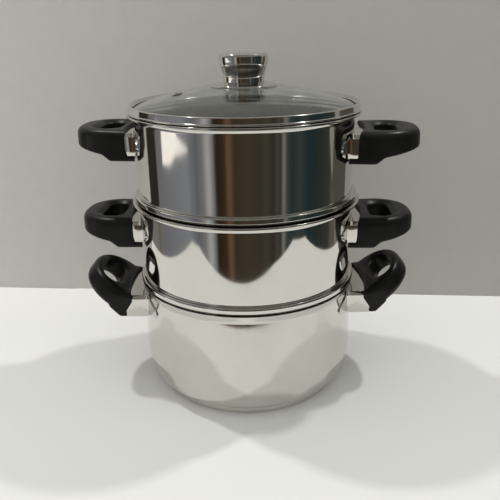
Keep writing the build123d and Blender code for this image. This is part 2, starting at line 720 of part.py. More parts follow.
def knob_insert():
    """Brass nut moulded into the plug."""
    nut = disc(INSERT_RADIUS, KNOB_FOOT, KNOB_FOOT + INSERT_LENGTH)
    return nut - disc(KNOB_SCREW_RADIUS + FIT_GAP, KNOB_FOOT, KNOB_FOOT + INSERT_LENGTH)


def under_glass():
    """Height of the middle of the glass's lower face."""
    return glass_height(WASHER_RADIUS) - GLASS_THICKNESS


def knob_washer():
    """Steel washer under the glass."""
    low = under_glass() - FIT_GAP - WASHER_HEIGHT
    return disc(WASHER_RADIUS, low, low + WASHER_HEIGHT) - disc(GLASS_BORE_RADIUS, low, GLASS_TOP)


def knob_screw():
    """Screw from under the glass into the knob's insert."""
    seat = under_glass() - FIT_GAP - WASHER_HEIGHT - FIT_GAP
    tip = KNOB_FOOT + KNOB_SCREW_BITE
    head = disc(KNOB_SCREW_HEAD_RADIUS, seat - KNOB_SCREW_HEAD_HEIGHT, seat)
    head = fillet(head.edges().sort_by(Axis.Z)[0], SCREW_HEAD_ROUND)
    bar = Rectangle(2 * KNOB_SCREW_RADIUS, SCREW_SLOT_WIDTH)
    cross = bar + Rot(0, 0, 90) * bar
    slot = Pos(0, 0, seat - KNOB_SCREW_HEAD_HEIGHT) * extrude(cross, SCREW_SLOT_DEPTH)
    return head + disc(KNOB_SCREW_RADIUS, seat, tip) - slot


def knob_gasket():
    """Soft ring that keeps the flange off the glass."""
    top = KNOB_FOOT - FIT_GAP - FLANGE_SHEET - FIT_GAP
    ring = disc(KNOB_FOOT_RADIUS - FLANGE_SHEET, GLASS_EDGE, top)
    lens = dome_line(KNOB_FOOT_RADIUS, -FIT_GAP)
    dome = turned(lens + Polyline(lens @ 1, (KNOB_FOOT_RADIUS, GLASS_EDGE), (0, GLASS_EDGE), lens @ 0))
    return ring - dome - disc(GLASS_BORE_RADIUS, GLASS_EDGE, GLASS_TOP + CUT_OVERRUN)


# Assembly

def save(name, shape):
    """Write one named piece."""
    export_step(shape, f"parts/{name}.step")
    print(name, "written")


def save_handles(vessel, handles):
    """Write both handles of a vessel with their ferrules, brackets and screws."""
    screws = []
    pieces = {
        "handle": handles.handle(),
        "ferrule": handles.ferrule(),
        "bracket": handles.bracket(),
    }
    for side, half_turn in (("right", 0), ("left", 180)):
        place = Rot(0, 0, handles.turn + half_turn)
        for name, piece in pieces.items():
            save(f"{vessel}_{name}_{side}", place * piece)
        screws.append(place * handles.screw())
    save(f"{vessel}_handle_screws", Compound(screws))


save("pot_body", pot_body())
save("base_cap", base_cap())
save("base_core", base_core())
save("middle_basket", Rot(0, 0, MIDDLE_TURN) * basket(MIDDLE_SEAT, MIDDLE_RIM))
save("top_basket", Rot(0, 0, TOP_TURN) * basket(TOP_SEAT, TOP_RIM))
save_handles("pot", PotHandles())
save_handles("middle", BasketHandles(MIDDLE_RIM, MIDDLE_TURN))
save_handles("top", BasketHandles(TOP_RIM, TOP_TURN))
save("lid_glass", lid_glass())
save("lid_band", lid_band())
save("vent_grommet", vent_grommet())
save("knob_flange", knob_flange())
save("knob_cap", knob_cap())
save("knob_core", knob_core())
save("knob_insert", knob_insert())
save("knob_washer", knob_washer())
save("knob_screw", knob_screw())
save("knob_gasket", knob_gasket())
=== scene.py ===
# %% [markdown]
# # A three-tier steel steamer pot
#
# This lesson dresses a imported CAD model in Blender. The object is a stack: a bellied steel
# pot, two pierced steel baskets and a domed glass lid with a steel knob. Six black handles
# stand on steel ferrules.
#
# The CAD model already fixes every size and place, so the first step loads it. Each new
# piece below is made at the same place as the CAD node that it stands for.

# %% Load the frame
import json
import math

import bpy
from mathutils import Matrix, Vector

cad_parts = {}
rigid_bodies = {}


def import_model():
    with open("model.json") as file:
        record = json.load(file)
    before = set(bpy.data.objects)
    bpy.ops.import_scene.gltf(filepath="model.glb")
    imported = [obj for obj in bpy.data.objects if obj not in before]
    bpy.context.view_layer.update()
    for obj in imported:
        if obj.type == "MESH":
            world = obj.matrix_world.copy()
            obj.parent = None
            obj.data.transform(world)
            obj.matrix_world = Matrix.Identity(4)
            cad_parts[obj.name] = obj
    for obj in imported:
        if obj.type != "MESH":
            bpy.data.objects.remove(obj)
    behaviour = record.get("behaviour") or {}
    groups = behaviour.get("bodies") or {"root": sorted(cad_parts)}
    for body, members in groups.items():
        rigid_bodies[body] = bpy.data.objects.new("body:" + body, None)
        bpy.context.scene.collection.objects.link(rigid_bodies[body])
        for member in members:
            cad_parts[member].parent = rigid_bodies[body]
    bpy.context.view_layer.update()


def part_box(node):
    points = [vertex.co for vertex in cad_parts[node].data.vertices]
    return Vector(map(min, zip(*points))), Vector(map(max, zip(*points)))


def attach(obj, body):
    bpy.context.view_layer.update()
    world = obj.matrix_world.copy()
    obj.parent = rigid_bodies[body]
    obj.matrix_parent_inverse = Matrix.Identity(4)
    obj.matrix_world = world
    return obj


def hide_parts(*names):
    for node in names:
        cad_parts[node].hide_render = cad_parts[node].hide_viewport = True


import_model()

MM = 0.001

# %% [markdown]
# ## The camera
#
# The camera's place was worked out from the rims of the pot, which the photograph shows as
# ellipses: how flat each ellipse is gives the height of the camera, and how fast they shrink
# gives its distance. A matrix holds its turn, because the camera leans a little to one side
# as well as down, and three plain turns in a row say that best.

# %% Camera
CAMERA_PLACE = Vector((0.0, -565.5, 342.1)) * MM
CAMERA_DOWN = math.radians(20.731)
CAMERA_TURN = math.radians(-0.309)
CAMERA_ROLL = math.radians(-0.942)
LENS = 43.8
SENSOR_WIDTH = 36.0

camera = bpy.data.objects.new("camera", bpy.data.cameras.new("camera"))
bpy.context.scene.collection.objects.link(camera)
camera.data.lens = LENS
camera.data.sensor_width = SENSOR_WIDTH
camera.matrix_world = (
    Matrix.Translation(CAMERA_PLACE)
    @ Matrix.Rotation(CAMERA_TURN, 4, "Z")
    @ Matrix.Rotation(math.pi / 2 - CAMERA_DOWN, 4, "X")
    @ Matrix.Rotation(CAMERA_ROLL, 4, "Z")
)
bpy.context.scene.camera = camera
bpy.context.scene.view_settings.view_transform = "Standard"
print("camera stands", round(CAMERA_PLACE.length, 3), "m from the foot of the pot")

# %% [markdown]
# ## Shader maths as plain expressions
#
# Blender's materials are graphs of nodes. Linking Math nodes one by one hides the idea, so a
# small class wraps a socket and gives it the usual operators. `1 - mask` then adds a Subtract
# node. Every other node comes from one method, which takes the node's type, its settings and
# what its sockets hold.

# %% Helpers for materials
class Wire:
    """An output of a node that can stand in an expression."""

    def __init__(self, finish, socket):
        self.finish = finish
        self.socket = socket

    def math(self, operation, first, second):
        return self.finish.node("ShaderNodeMath", {"operation": operation}, {0: first, 1: second})

    def __add__(self, other):
        return self.math("ADD", self, other)

    def __radd__(self, other):
        return self.math("ADD", other, self)

    def __sub__(self, other):
        return self.math("SUBTRACT", self, other)

    def __rsub__(self, other):
        return self.math("SUBTRACT", other, self)

    def __mul__(self, other):
        return self.math("MULTIPLY", self, other)

    def __rmul__(self, other):
        return self.math("MULTIPLY", other, self)


class Finish:
    """A material with its node tree, and the one method that adds nodes to it."""

    def __init__(self, name):
        self.material = bpy.data.materials.new(name)
        self.material.use_nodes = True
        self.nodes = self.material.node_tree.nodes
        self.shader = self.nodes["Principled BSDF"]
        self.output = self.nodes["Material Output"]

    def join(self, value, socket):
        """Link a wire to a socket, or write a plain value into it."""
        if isinstance(value, Wire):
            self.material.node_tree.links.new(value.socket, socket)
        else:
            socket.default_value = value

    def node(self, kind, settings=None, inputs=None, output=0):
        """Add a node: first its settings, then what its sockets hold."""
        made = self.nodes.new(kind)
        for key, value in (settings or {}).items():
            if key == "stops":
                ramp = made.color_ramp
                while len(ramp.elements) < len(value):
                    ramp.elements.new(1.0)
                for element, (place, color) in zip(ramp.elements, value):
                    element.position = place
                    element.color = color
            else:
                setattr(made, key, value)
        for key, value in (inputs or {}).items():
            self.join(value, made.inputs[key])
        return Wire(self, made.outputs[output])

    def set(self, **values):
        """Fill the shader's own sockets, which are named with underscores for blanks."""
        for key, value in values.items():
            self.join(value, self.shader.inputs[key.replace("_", " ")])

    def place(self, scale=(1, 1, 1)):
        """Object coordinates in metres, stretched by a scale."""
        point = self.node("ShaderNodeTexCoord", output="Object")
        return self.node("ShaderNodeMapping", {}, {"Vector": point, "Scale": scale})

    def noise(self, point, scale, detail=3.0, rough=0.5):
        values = {"Vector": point, "Scale": scale, "Detail": detail, "Roughness": rough}
        return self.node("ShaderNodeTexNoise", {}, values)

    def ramp(self, value, stops):
        return self.node("ShaderNodeValToRGB", {"stops": stops}, {"Fac": value})

    def mix(self, amount, first, second):
        settings = {"data_type": "RGBA"}
        return self.node("ShaderNodeMix", settings, {0: amount, 6: first, 7: second}, output=2)

    def bump(self, height, depth, strength=1.0):
        values = {"Height": height, "Distance": depth, "Strength": strength}
        self.set(Normal=self.node("ShaderNodeBump", {}, values))


def grey(value):
    return (value, value, value, 1.0)


# %% [markdown]
# ## Polished steel
#
# Stainless pots are polished to a mirror, but never a perfect one. Three things give them
# away: the sheet is slightly wavy, so straight reflections tremble; the polishing wheel
# leaves faint upright streaks; and wiping leaves cloudy patches that are a little rougher.
# The waves go to the bump and the patches to the roughness. The colour stays a warm grey,
# because a metal's own colour only tints what it mirrors.

# %% Steel
HAZE_STOPS = [(0.42, grey(0.0)), (0.75, grey(1.0))]
HAZE_TONE = 0.93
WHEEL_ROUGHNESS = 0.015
WHEEL_STRETCH = (1, 1, 0.05)
WAVE_STRETCH = (1, 1, 0.35)
STREAK_STRETCH = (1, 1, 0.02)


def steel(name, color, rough, haze, wave=0.02, streak=0.004):
    """Mirror-polished sheet: haze adds cloudy roughness, wave and streak are in millimetres."""
    finish = Finish(name)
    cloud = finish.noise(finish.place(), scale=22.0, detail=5.0, rough=0.6)
    patch = finish.ramp(cloud, HAZE_STOPS)
    fine = finish.noise(finish.place(WHEEL_STRETCH), scale=900.0, detail=2.0)
    darker = tuple(HAZE_TONE * part for part in color)
    finish.set(
        Base_Color=finish.mix(patch, (*color, 1.0), (*darker, 1.0)),
        Metallic=1.0,
        Roughness=rough + haze * patch + WHEEL_ROUGHNESS * fine,
    )
    slow = finish.noise(finish.place(WAVE_STRETCH), scale=26.0, detail=1.0)
    brushed = finish.noise(finish.place(STREAK_STRETCH), scale=240.0, detail=2.0)
    finish.bump(wave * slow + streak * brushed, MM)
    return finish.material


POLISHED = (0.70, 0.685, 0.645)
STAMPED = (0.62, 0.61, 0.59)
THREADED = (0.60, 0.59, 0.57)
pot_steel = steel("pot_steel", POLISHED, rough=0.07, haze=0.10, wave=0.06)
middle_steel = steel("middle_steel", POLISHED, rough=0.035, haze=0.04, wave=0.05)
top_steel = steel("top_steel", POLISHED, rough=0.05, haze=0.06, wave=0.05, streak=0.02)
trim_steel = steel("trim_steel", POLISHED, rough=0.06, haze=0.05)
bracket_steel = steel("bracket_steel", STAMPED, rough=0.15, haze=0.1)
screw_steel = steel("screw_steel", THREADED, rough=0.22, haze=0.1)

# %% [markdown]
# ## Black phenolic, glass and the rest
#
# Handles of this kind are moulded from phenolic resin. It is nearly black, with a satin skin
# that has a very fine grain. Only broad soft lights show on it, so its roughness is middling
# and varies a little where hands have polished it.
#
# The glass has real thickness, so the shader only needs to be clear with a faint green tint.
# Light that only casts a shadow passes straight through it, which keeps the inside lit.

# %% Other finishes
PHENOLIC_TONES = [(0.3, (0.005, 0.005, 0.0045, 1)), (0.7, (0.009, 0.009, 0.0085, 1))]
PHENOLIC_GRAIN = 0.012
GLASS_TINT = (0.93, 0.97, 0.95, 1)
GLASS_SHADOW_TINT = (0.86, 0.92, 0.89, 1)
GLASS_INDEX = 1.5
DRIFT_BUMP = 0.02


def phenolic():
    """Moulded black resin: hands polish it in places, and a fine grain stays all over."""
    finish = Finish("black_phenolic")
    worn = finish.noise(finish.place(), scale=45.0, detail=4.0)
    grain = finish.noise(finish.place(), scale=2600.0, detail=2.0)
    finish.set(
        Base_Color=finish.ramp(worn, PHENOLIC_TONES),
        Roughness=0.30 + 0.14 * worn,
        Specular_IOR_Level=0.22,
    )
    finish.bump(grain, PHENOLIC_GRAIN * MM)
    return finish.material


def clear_glass():
    """Glass that light for shadows goes straight through."""
    finish = Finish("lid_glass_clear")
    smear = finish.noise(finish.place(), scale=18.0, detail=4.0)
    finish.set(
        Base_Color=GLASS_TINT, Roughness=0.012 * smear, Transmission_Weight=1.0, IOR=GLASS_INDEX
    )
    shadow = finish.node("ShaderNodeLightPath", output="Is Shadow Ray")
    through = finish.node("ShaderNodeBsdfTransparent", {}, {"Color": GLASS_SHADOW_TINT})
    body = Wire(finish, finish.shader.outputs[0])
    both = finish.node("ShaderNodeMixShader", {}, {0: shadow, 1: body, 2: through})
    finish.join(both, finish.output.inputs["Surface"])
    return finish.material


def cloudy(name, low, high, rough, metallic=0.0):
    """A finish whose colour and roughness drift between two tones."""
    finish = Finish(name)
    drift = finish.noise(finish.place(), scale=60.0, detail=4.0)
    tone = finish.ramp(drift, [(0.3, low), (0.7, high)])
    finish.set(Base_Color=tone, Roughness=rough + 0.1 * drift, Metallic=metallic)
    finish.bump(drift, DRIFT_BUMP * MM)
    return finish.material


BRASS_TONES = (0.60, 0.44, 0.20, 1), (0.74, 0.58, 0.30, 1)
SILICONE_TONES = (0.60, 0.60, 0.57, 1), (0.72, 0.72, 0.69, 1)
black_phenolic = phenolic()
lid_glass_clear = clear_glass()
aluminium = cloudy("base_aluminium", grey(0.42), grey(0.55), rough=0.35, metallic=1.0)
brass = cloudy("insert_brass", *BRASS_TONES, rough=0.25, metallic=1.0)
knob_plastic = cloudy("knob_plastic", grey(0.02), grey(0.04), rough=0.5)
silicone = cloudy("gasket_silicone", *SILICONE_TONES, rough=0.5)

# %% [markdown]
# ## Drawing a section and spinning it
#
# Most of this object is round, and a real press or lathe would make it from one line. So a
# round piece starts here as a line too: one vertex is extruded from corner to corner of its
# section, and the Spin operator sweeps it about the axis.
#
# Mirror-bright steel shows every fault of a smooth surface. Each bend is therefore a true arc
# of many short edges, and a short straight edge is kept on both sides of it. It holds the
# shading of the long flat walls exactly flat.

# %% Helpers for round pieces
SPIN_STEPS = 192
DRILL_SIDES = 48
ARC_TURN = 7.5
HOLD_SHARE = 0.25
HOLD_MOST = 0.3
MERGE = 0.005 * MM
SMOOTH_ANGLE = math.radians(35)
EDGE_ANGLE = math.radians(55)
THIN_EASE = 0.1
HOLE_EASE = 0.12
RIM_EASE = 0.15


def bend_reach(before, corner, after, bend):
    """How far from a corner its arc starts."""
    return bend / math.tan((before - corner).angle(after - corner) / 2) if bend else 0.0


def rounded(corners):
    """Points of a line whose corners, given as (across, up, bend), are rounded by arcs."""
    spots = [Vector(corner[:2]) for corner in corners]
    bends = [corner[2] for corner in corners]
    sides = list(zip([spots[-1]] + spots, spots, spots[1:] + [spots[0]]))
    reaches = [bend_reach(*side, bend) for side, bend in zip(sides, bends)]
    points = []
    for index, (corner, bend, reach) in enumerate(zip(spots, bends, reaches)):
        if not bend:
            points.append(corner)
            continue
        ways = []
        for other in (index - 1, (index + 1) % len(spots)):
            way = spots[other] - corner
            hold = min(HOLD_MOST, (way.length - reach - reaches[other]) * HOLD_SHARE)
            ways.append((way.normalized(), hold))
        (before, hold_before), (after, hold_after) = ways
        half = before.angle(after) / 2
        centre = corner + (before + after).normalized() * bend / math.sin(half)
        start = corner + before * reach - centre
        sweep = math.pi - 2 * half
        side = 1 if before.cross(after) < 0 else -1
        steps = max(2, math.ceil(math.degrees(sweep) / ARC_TURN))
        points.append(corner + before * (reach + hold_before))
        for step in range(steps + 1):
            points.append(centre + Matrix.Rotation(side * sweep * step / steps, 2) @ start)
        points.append(corner + after * (reach + hold_after))
    return points


def arc(centre, radius, first, last, count):
    """Points on a circle between two angles in degrees."""
    points = []
    for step in range(count + 1):
        angle = math.radians(first + (last - first) * step / count)
        points.append(Vector(centre) + radius * Vector((math.cos(angle), math.sin(angle))))
    return points


def edit(obj):
    """Go into edit mode on one object, with all of its mesh selected."""
    bpy.ops.object.select_all(action="DESELECT")
    bpy.context.view_layer.objects.active = obj
    obj.select_set(True)
    bpy.ops.object.mode_set(mode="EDIT")
    bpy.ops.mesh.select_all(action="SELECT")


def leave():
    """Go back to object mode."""
    bpy.ops.object.mode_set(mode="OBJECT")


def trace(name, points):
    """Extrude one vertex through points that are given in millimetres."""
    places = [Vector(point) * MM for point in points]
    bpy.ops.object.select_all(action="DESELECT")
    bpy.ops.mesh.primitive_plane_add(size=MM, location=places[0])
    obj = bpy.context.object
    obj.name = obj.data.name = name
    bpy.ops.object.transform_apply()
    edit(obj)
    bpy.ops.mesh.merge(type="CENTER")
    for start, end in zip(places, places[1:]):
        bpy.ops.mesh.extrude_vertices_move(TRANSFORM_OT_translate={"value": end - start})
    leave()
    return obj


def lathe(name, section, closed=False, steps=SPIN_STEPS):
    """Spin a section, drawn as radius and height, about the axis of the stack."""
    line = [(point[0], 0, point[1]) for point in section]
    obj = trace(name, line + line[:1] if closed else line)
    edit(obj)
    bpy.ops.mesh.remove_doubles(threshold=MERGE)
    bpy.ops.mesh.spin(steps=steps, angle=2 * math.pi, center=(0, 0, 0), axis=(0, 0, 1))
    bpy.ops.mesh.select_all(action="SELECT")
    bpy.ops.mesh.remove_doubles(threshold=MERGE)
    bpy.ops.mesh.delete_loose()
    bpy.ops.mesh.select_all(action="SELECT")
    bpy.ops.mesh.normals_make_consistent(inside=False)
    leave()
    return obj


def modify(obj, kind, **settings):
    """Add a modifier and apply it."""
    bpy.ops.object.select_all(action="DESELECT")
    bpy.context.view_layer.objects.active = obj
    obj.select_set(True)
    modifier = obj.modifiers.new(kind.title(), kind)
    for key, value in settings.items():
        setattr(modifier, key, value)
    bpy.ops.object.modifier_apply(modifier=modifier.name)
    return obj


def cut(obj, tool, operation="DIFFERENCE"):
    """Join a tool to a piece by a Boolean, then throw the tool away."""
    modify(obj, "BOOLEAN", object=tool, operation=operation, solver="EXACT")
    bpy.data.objects.remove(tool)
    return obj


def drill(radius, length, place):
    """A rod to cut a bore with, sized in millimetres and laid by a matrix."""
    bpy.ops.object.select_all(action="DESELECT")
    bpy.ops.mesh.primitive_cylinder_add(
        vertices=DRILL_SIDES, radius=radius * MM, depth=length * MM
    )
    rod = bpy.context.object
    rod.data.transform(place)
    return rod


def smooth(obj):
    """Shade all but the true edges smooth."""
    bpy.ops.object.select_all(action="DESELECT")
    bpy.context.view_layer.objects.active = obj
    obj.select_set(True)
    bpy.ops.object.shade_smooth_by_angle(angle=SMOOTH_ANGLE)
    return obj


def walled(line, thickness):
    """Closed section of a sheet: a line, and the same line moved to its left and run back."""
    points = [Vector(point) for point in line]
    inner = []
    for before, here, after in zip(points[:1] + points, points, points[1:] + points[-1:]):
        ways = [way.normalized() for way in (here - before, after - here) if way.length > 0]
        left = sum((Vector((-way.y, way.x)) for way in ways), Vector((0, 0))).normalized()
        square = Vector((-ways[0].y, ways[0].x))
        inner.append(here + left * thickness / left.dot(square))
    return points + inner[::-1]


def press(name, line, thickness, steps=SPIN_STEPS):
    """Spin a line as sheet metal; a line that starts on the axis closes there by itself."""
    return lathe(name, walled(line, thickness), closed=line[0][0] > 0, steps=steps)


def ease(obj, width):
    """Take the sharpness off cut edges, as deburring does."""
    return modify(
        obj, "BEVEL", width=width * MM, segments=2, limit_method="ANGLE", angle_limit=EDGE_ANGLE
    )


def copy(obj, name, matrix):
    """A second piece with its own mesh, moved in that mesh."""
    twin = bpy.data.objects.new(name, obj.data.copy())
    twin.data.name = name
    twin.data.transform(matrix)
    bpy.context.scene.collection.objects.link(twin)
    return twin


def settle(obj, body, slot, finish, *nodes):
    """Say which body and finish a piece has, and which CAD nodes it stands for; slot is not used."""
    obj.data.materials.clear()
    obj.data.materials.append(finish)
    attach(obj, body)
    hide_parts(*nodes)
    own = [Vector(corner) for corner in obj.bound_box]
    low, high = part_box(nodes[0])
    grown = max(
        max(low[axis] - min(corner[axis] for corner in own) for axis in range(3)),
        max(max(corner[axis] for corner in own) - high[axis] for axis in range(3)),
    )
    count = sum(len(face.vertices) - 2 for face in obj.data.polygons)
    print(obj.name, count, "triangles,", round(grown / MM, 2), "mm past its CAD node")


# %% [markdown]
# ## The pot
#
# The pot is deep-drawn from one sheet. Its side bulges: a nearly straight arc falls from the
# neck to a belly low down, a rounder arc turns under it, and a tight corner meets the floor.
# The line below is the outer face of the sheet. A modifier could give the spun skin its
# thickness, but here the line itself is run back 0.8 mm further in, so the rim's cut edge is
# part of the section. A welded cap under the pot hides a disc of aluminium.

# %% Pot
SHEET = 0.8
BODY_RADIUS = 100.0
POT_HEIGHT = 106.0
POT_RIM_RADIUS = 103.7
POT_MOUTH_RADIUS = 102.3
POT_MOUTH_ROUND = 1.04
POT_NECK_HEIGHT = 99.0
POT_NECK_ROUND = 6.0
BELLY_RADIUS = 103.0
BELLY_HEIGHT = 42.0
BULGE_STEPS = 24
FLOOR_RADIUS = 88.0
BASE_HEIGHT = 6.4
CORNER_ROUND = 11.0
LOWER_STEPS = 14


def bulge(outwards):
    """Side of the pot from the belly to the neck, moved outwards."""
    rise = POT_NECK_HEIGHT - BELLY_HEIGHT
    lean = BELLY_RADIUS - BODY_RADIUS
    radius = (rise**2 + lean**2) / (2 * lean)
    sweep = math.degrees(math.asin(rise / radius))
    centre = (BELLY_RADIUS - radius, BELLY_HEIGHT)
    return arc(centre, radius + outwards, 0, sweep, BULGE_STEPS)


def lower_side():
    """The corner round the floor and the rounder arc above it, up to the belly."""
    run = BELLY_RADIUS - FLOOR_RADIUS
    rise = BELLY_HEIGHT - BASE_HEIGHT - CORNER_ROUND
    radius = (run**2 + rise**2 - CORNER_ROUND**2) / (2 * (run - CORNER_ROUND))
    dip = math.degrees(math.atan2(-rise, FLOOR_RADIUS - BELLY_RADIUS + radius))
    corner_centre = (FLOOR_RADIUS, BASE_HEIGHT + CORNER_ROUND)
    corner = arc(corner_centre, CORNER_ROUND, -90, dip, LOWER_STEPS)
    side = arc((BELLY_RADIUS - radius, BELLY_HEIGHT), radius, dip, 0, LOWER_STEPS)
    return corner + side[1:]


neck = rounded([
    (*bulge(0)[-2], 0),
    (BODY_RADIUS, POT_NECK_HEIGHT, POT_NECK_ROUND),
    (POT_MOUTH_RADIUS, POT_HEIGHT - SHEET, POT_MOUTH_ROUND),
    (POT_RIM_RADIUS, POT_HEIGHT - SHEET, 0),
])
bottom = [(0, BASE_HEIGHT), (FLOOR_RADIUS - HOLD_MOST, BASE_HEIGHT)]
pot = press("pot_body_steel", bottom + lower_side() + bulge(0)[1:-2] + neck[1:], SHEET)
smooth(ease(pot, RIM_EASE))
settle(pot, "pot", "polished_steel", pot_steel, "pot_body")

# %% Base of the pot
BASE_RADIUS = 90.1
BASE_ROUND = 1.2
CAP_HEIGHT = 5.7
CAP_SHEET = 0.6

cap_line = rounded([(0, 0, 0), (BASE_RADIUS, 0, BASE_ROUND), (BASE_RADIUS, CAP_HEIGHT, 0)])
cap = smooth(ease(press("base_cap_steel", cap_line, CAP_SHEET), THIN_EASE))
settle(cap, "pot", "polished_steel", trim_steel, "base_cap")

# %% [markdown]
# ## The steamer baskets
#
# Each basket is one pressing: a pierced floor, a spigot that drops into the tier below, a
# cone that seats on its rim, a bead that stiffens the foot, a straight wall and a flared lip
# that is turned down. Rods in rings, joined into one tool, pierce the floor with a Boolean.
# The top basket is the same pressing, raised and turned a few degrees more, as the
# photograph shows.

# %% Helpers for baskets
MIDDLE_RIM = 186.22
TOP_RIM = 265.94
TIER_HEIGHT = 78.9
SPIGOT_RADIUS = 98.4
SPIGOT_DEPTH = 15.0
BEAD_RADIUS = 104.1
BEAD_RISE = 6.5
SEAT_EDGE_RADIUS = 102.8
SEAT_SLOPE = math.tan(math.radians(53.17))
LIP_RADIUS = 106.1
LIP_DEPTH = 1.6
STEAM_HOLE = 3.5
STEAM_PITCH = 15.5
STEAM_RINGS = 5
HOLES_PER_RING = 6
PUNCH_SIDES = 24
PUNCH_LENGTH = 6.0


def basket_line(rim):
    """Outer face of a basket, from the middle of its floor to its lip."""
    seat = rim - TIER_HEIGHT
    return rounded([
        (0, seat - SPIGOT_DEPTH, 0),
        (SPIGOT_RADIUS, seat - SPIGOT_DEPTH, 5.0),
        (SPIGOT_RADIUS, seat - SEAT_SLOPE * (SEAT_EDGE_RADIUS - SPIGOT_RADIUS), 2.0),
        (BEAD_RADIUS, seat + SEAT_SLOPE * (BEAD_RADIUS - SEAT_EDGE_RADIUS), 1.3),
        (BEAD_RADIUS, seat + BEAD_RISE, 2.0),
        (BODY_RADIUS, seat + BEAD_RISE, 0.9),
        (BODY_RADIUS, rim - SHEET, 5.7),
        (LIP_RADIUS, rim - SHEET, 0.2),
        (LIP_RADIUS, rim - LIP_DEPTH, 0),
    ])


def punch(floor):
    """Rods for the steam holes: one in the middle and six more in each ring than the last."""
    rods = []
    for ring in range(STEAM_RINGS + 1):
        holes = max(1, HOLES_PER_RING * ring)
        for step in range(holes):
            angle = 2 * math.pi * step / holes
            x = STEAM_PITCH * ring * math.cos(angle)
            y = STEAM_PITCH * ring * math.sin(angle)
            bpy.ops.mesh.primitive_cylinder_add(
                vertices=PUNCH_SIDES, radius=STEAM_HOLE * MM, depth=PUNCH_LENGTH * MM,
                location=(x * MM, y * MM, floor * MM),
            )
            rods.append(bpy.context.object)
    bpy.ops.object.select_all(action="DESELECT")
    for rod in rods:
        rod.select_set(True)
    bpy.context.view_layer.objects.active = rods[0]
    bpy.ops.object.join()
    joined = bpy.context.object
    bpy.ops.object.transform_apply()
    return joined


# %% Two baskets from one pressing
MIDDLE_FLOOR_TURN = math.radians(-2.2)
TOP_FLOOR_TURN = math.radians(-7.2)

basket = press("middle_basket_steel", basket_line(MIDDLE_RIM), SHEET)
cut(basket, punch(MIDDLE_RIM - TIER_HEIGHT - SPIGOT_DEPTH))
smooth(ease(basket, HOLE_EASE))
raised = Matrix.Translation((0, 0, (TOP_RIM - MIDDLE_RIM) * MM))
turned = Matrix.Rotation(TOP_FLOOR_TURN, 4, "Z")
top_basket = copy(basket, "top_basket_steel", raised @ turned)
basket.data.transform(Matrix.Rotation(MIDDLE_FLOOR_TURN, 4, "Z"))
settle(basket, "middle_tier", "polished_steel", middle_steel, "middle_basket")
settle(top_basket, "top_tier", "polished_steel", top_steel, "top_basket")

# %% [markdown]
# ## The lid
#
# The lid is a dome of glass 3 mm thick. A closed section gives it a real upper and lower
# face, so light bends in it as it should. A thin steel band is folded over its edge, with a
# rolled lip that rests on the basket and a skirt that centres it inside.

# %% Glass of the lid
LID_REST = 266.14
BAND_SHEET = 0.5
BAND_GAP = 0.3
GLASS_RADIUS = 100.5
GLASS_THICKNESS = 3.0
GLASS_EDGE = LID_REST + BAND_SHEET + BAND_GAP + GLASS_THICKNESS
GLASS_RISE = 18.5
GLASS_TOP = GLASS_EDGE + GLASS_RISE
GLASS_EDGE_ROUND = 1.0
GLASS_BORE = 5.0
DOME_ROUND = (GLASS_RADIUS**2 + GLASS_RISE**2) / (2 * GLASS_RISE)
DOME_END = 95.0
DOME_STEPS = 28
VENT_RADIUS = 61.0
VENT_ANGLE = math.radians(194)
VENT_BORE = 2.75
VENT_DRILL_LENGTH = 12.0


def glass_height(radius):
    """Height of the glass's upper face at a distance from the axis."""
    return GLASS_TOP - DOME_ROUND + math.sqrt(DOME_ROUND**2 - radius**2)


def dome(first, last, drop):
    """Line on the glass between two radii, lowered by a drop."""
    radii = [first + (last - first) * step / DOME_STEPS for step in range(DOME_STEPS + 1)]
    return [(radius, glass_height(radius) - drop) for radius in radii]


edge = rounded([
    (DOME_END, glass_height(DOME_END), 0),
    (GLASS_RADIUS, GLASS_EDGE, GLASS_EDGE_ROUND),
    (GLASS_RADIUS, GLASS_EDGE - GLASS_THICKNESS, GLASS_EDGE_ROUND),
    (DOME_END, glass_height(DOME_END) - GLASS_THICKNESS, 0),
])
upper_face = dome(GLASS_BORE, DOME_END, 0)
lower_face = dome(DOME_END, GLASS_BORE, GLASS_THICKNESS)
glass = lathe("lid_glass_dome", upper_face + edge[1:-1] + lower_face, closed=True)

vent_middle = Vector((
    VENT_RADIUS * math.cos(VENT_ANGLE),
    VENT_RADIUS * math.sin(VENT_ANGLE),
    glass_height(VENT_RADIUS),
))
slope = math.asin(VENT_RADIUS / DOME_ROUND)
vent_turn = Matrix.Rotation(VENT_ANGLE, 4, "Z") @ Matrix.Rotation(slope, 4, "Y")
vent_place = Matrix.Translation(vent_middle * MM) @ vent_turn
cut(glass, drill(VENT_BORE, VENT_DRILL_LENGTH, vent_place))
smooth(glass)
settle(glass, "lid", "lid_glass", lid_glass_clear, "lid_glass")

# %% Band of the lid
BAND_INNER = 99.6
BAND_LAP = 0.6
BAND_TOP = LID_REST + 7.4
BAND_BEND = 0.6

band_line = rounded([
    (BAND_INNER, glass_height(BAND_INNER) + BAND_LAP, 0),
    (102.2, BAND_TOP, 0.9),
    (104.2, BAND_TOP, 1.1),
    (104.8, LID_REST + 2.2, BAND_BEND),
    (105.6, LID_REST + 1.7, BAND_BEND),
    (105.6, LID_REST + 0.8, BAND_BEND),
    (104.4, LID_REST, BAND_BEND),
    (100.0, LID_REST, BAND_BEND),
    (99.4, LID_REST - 3.0, 0),
])
band = smooth(ease(press("lid_band_steel", band_line, -BAND_SHEET), THIN_EASE))
settle(band, "lid", "polished_steel", trim_steel, "lid_band")

# %% [markdown]
# ## Steam vent
#
# The vent is a steel eyelet, pressed through the glass and flared over it. It is drawn upright
# on the axis, then its mesh is tilted to lie on the dome.

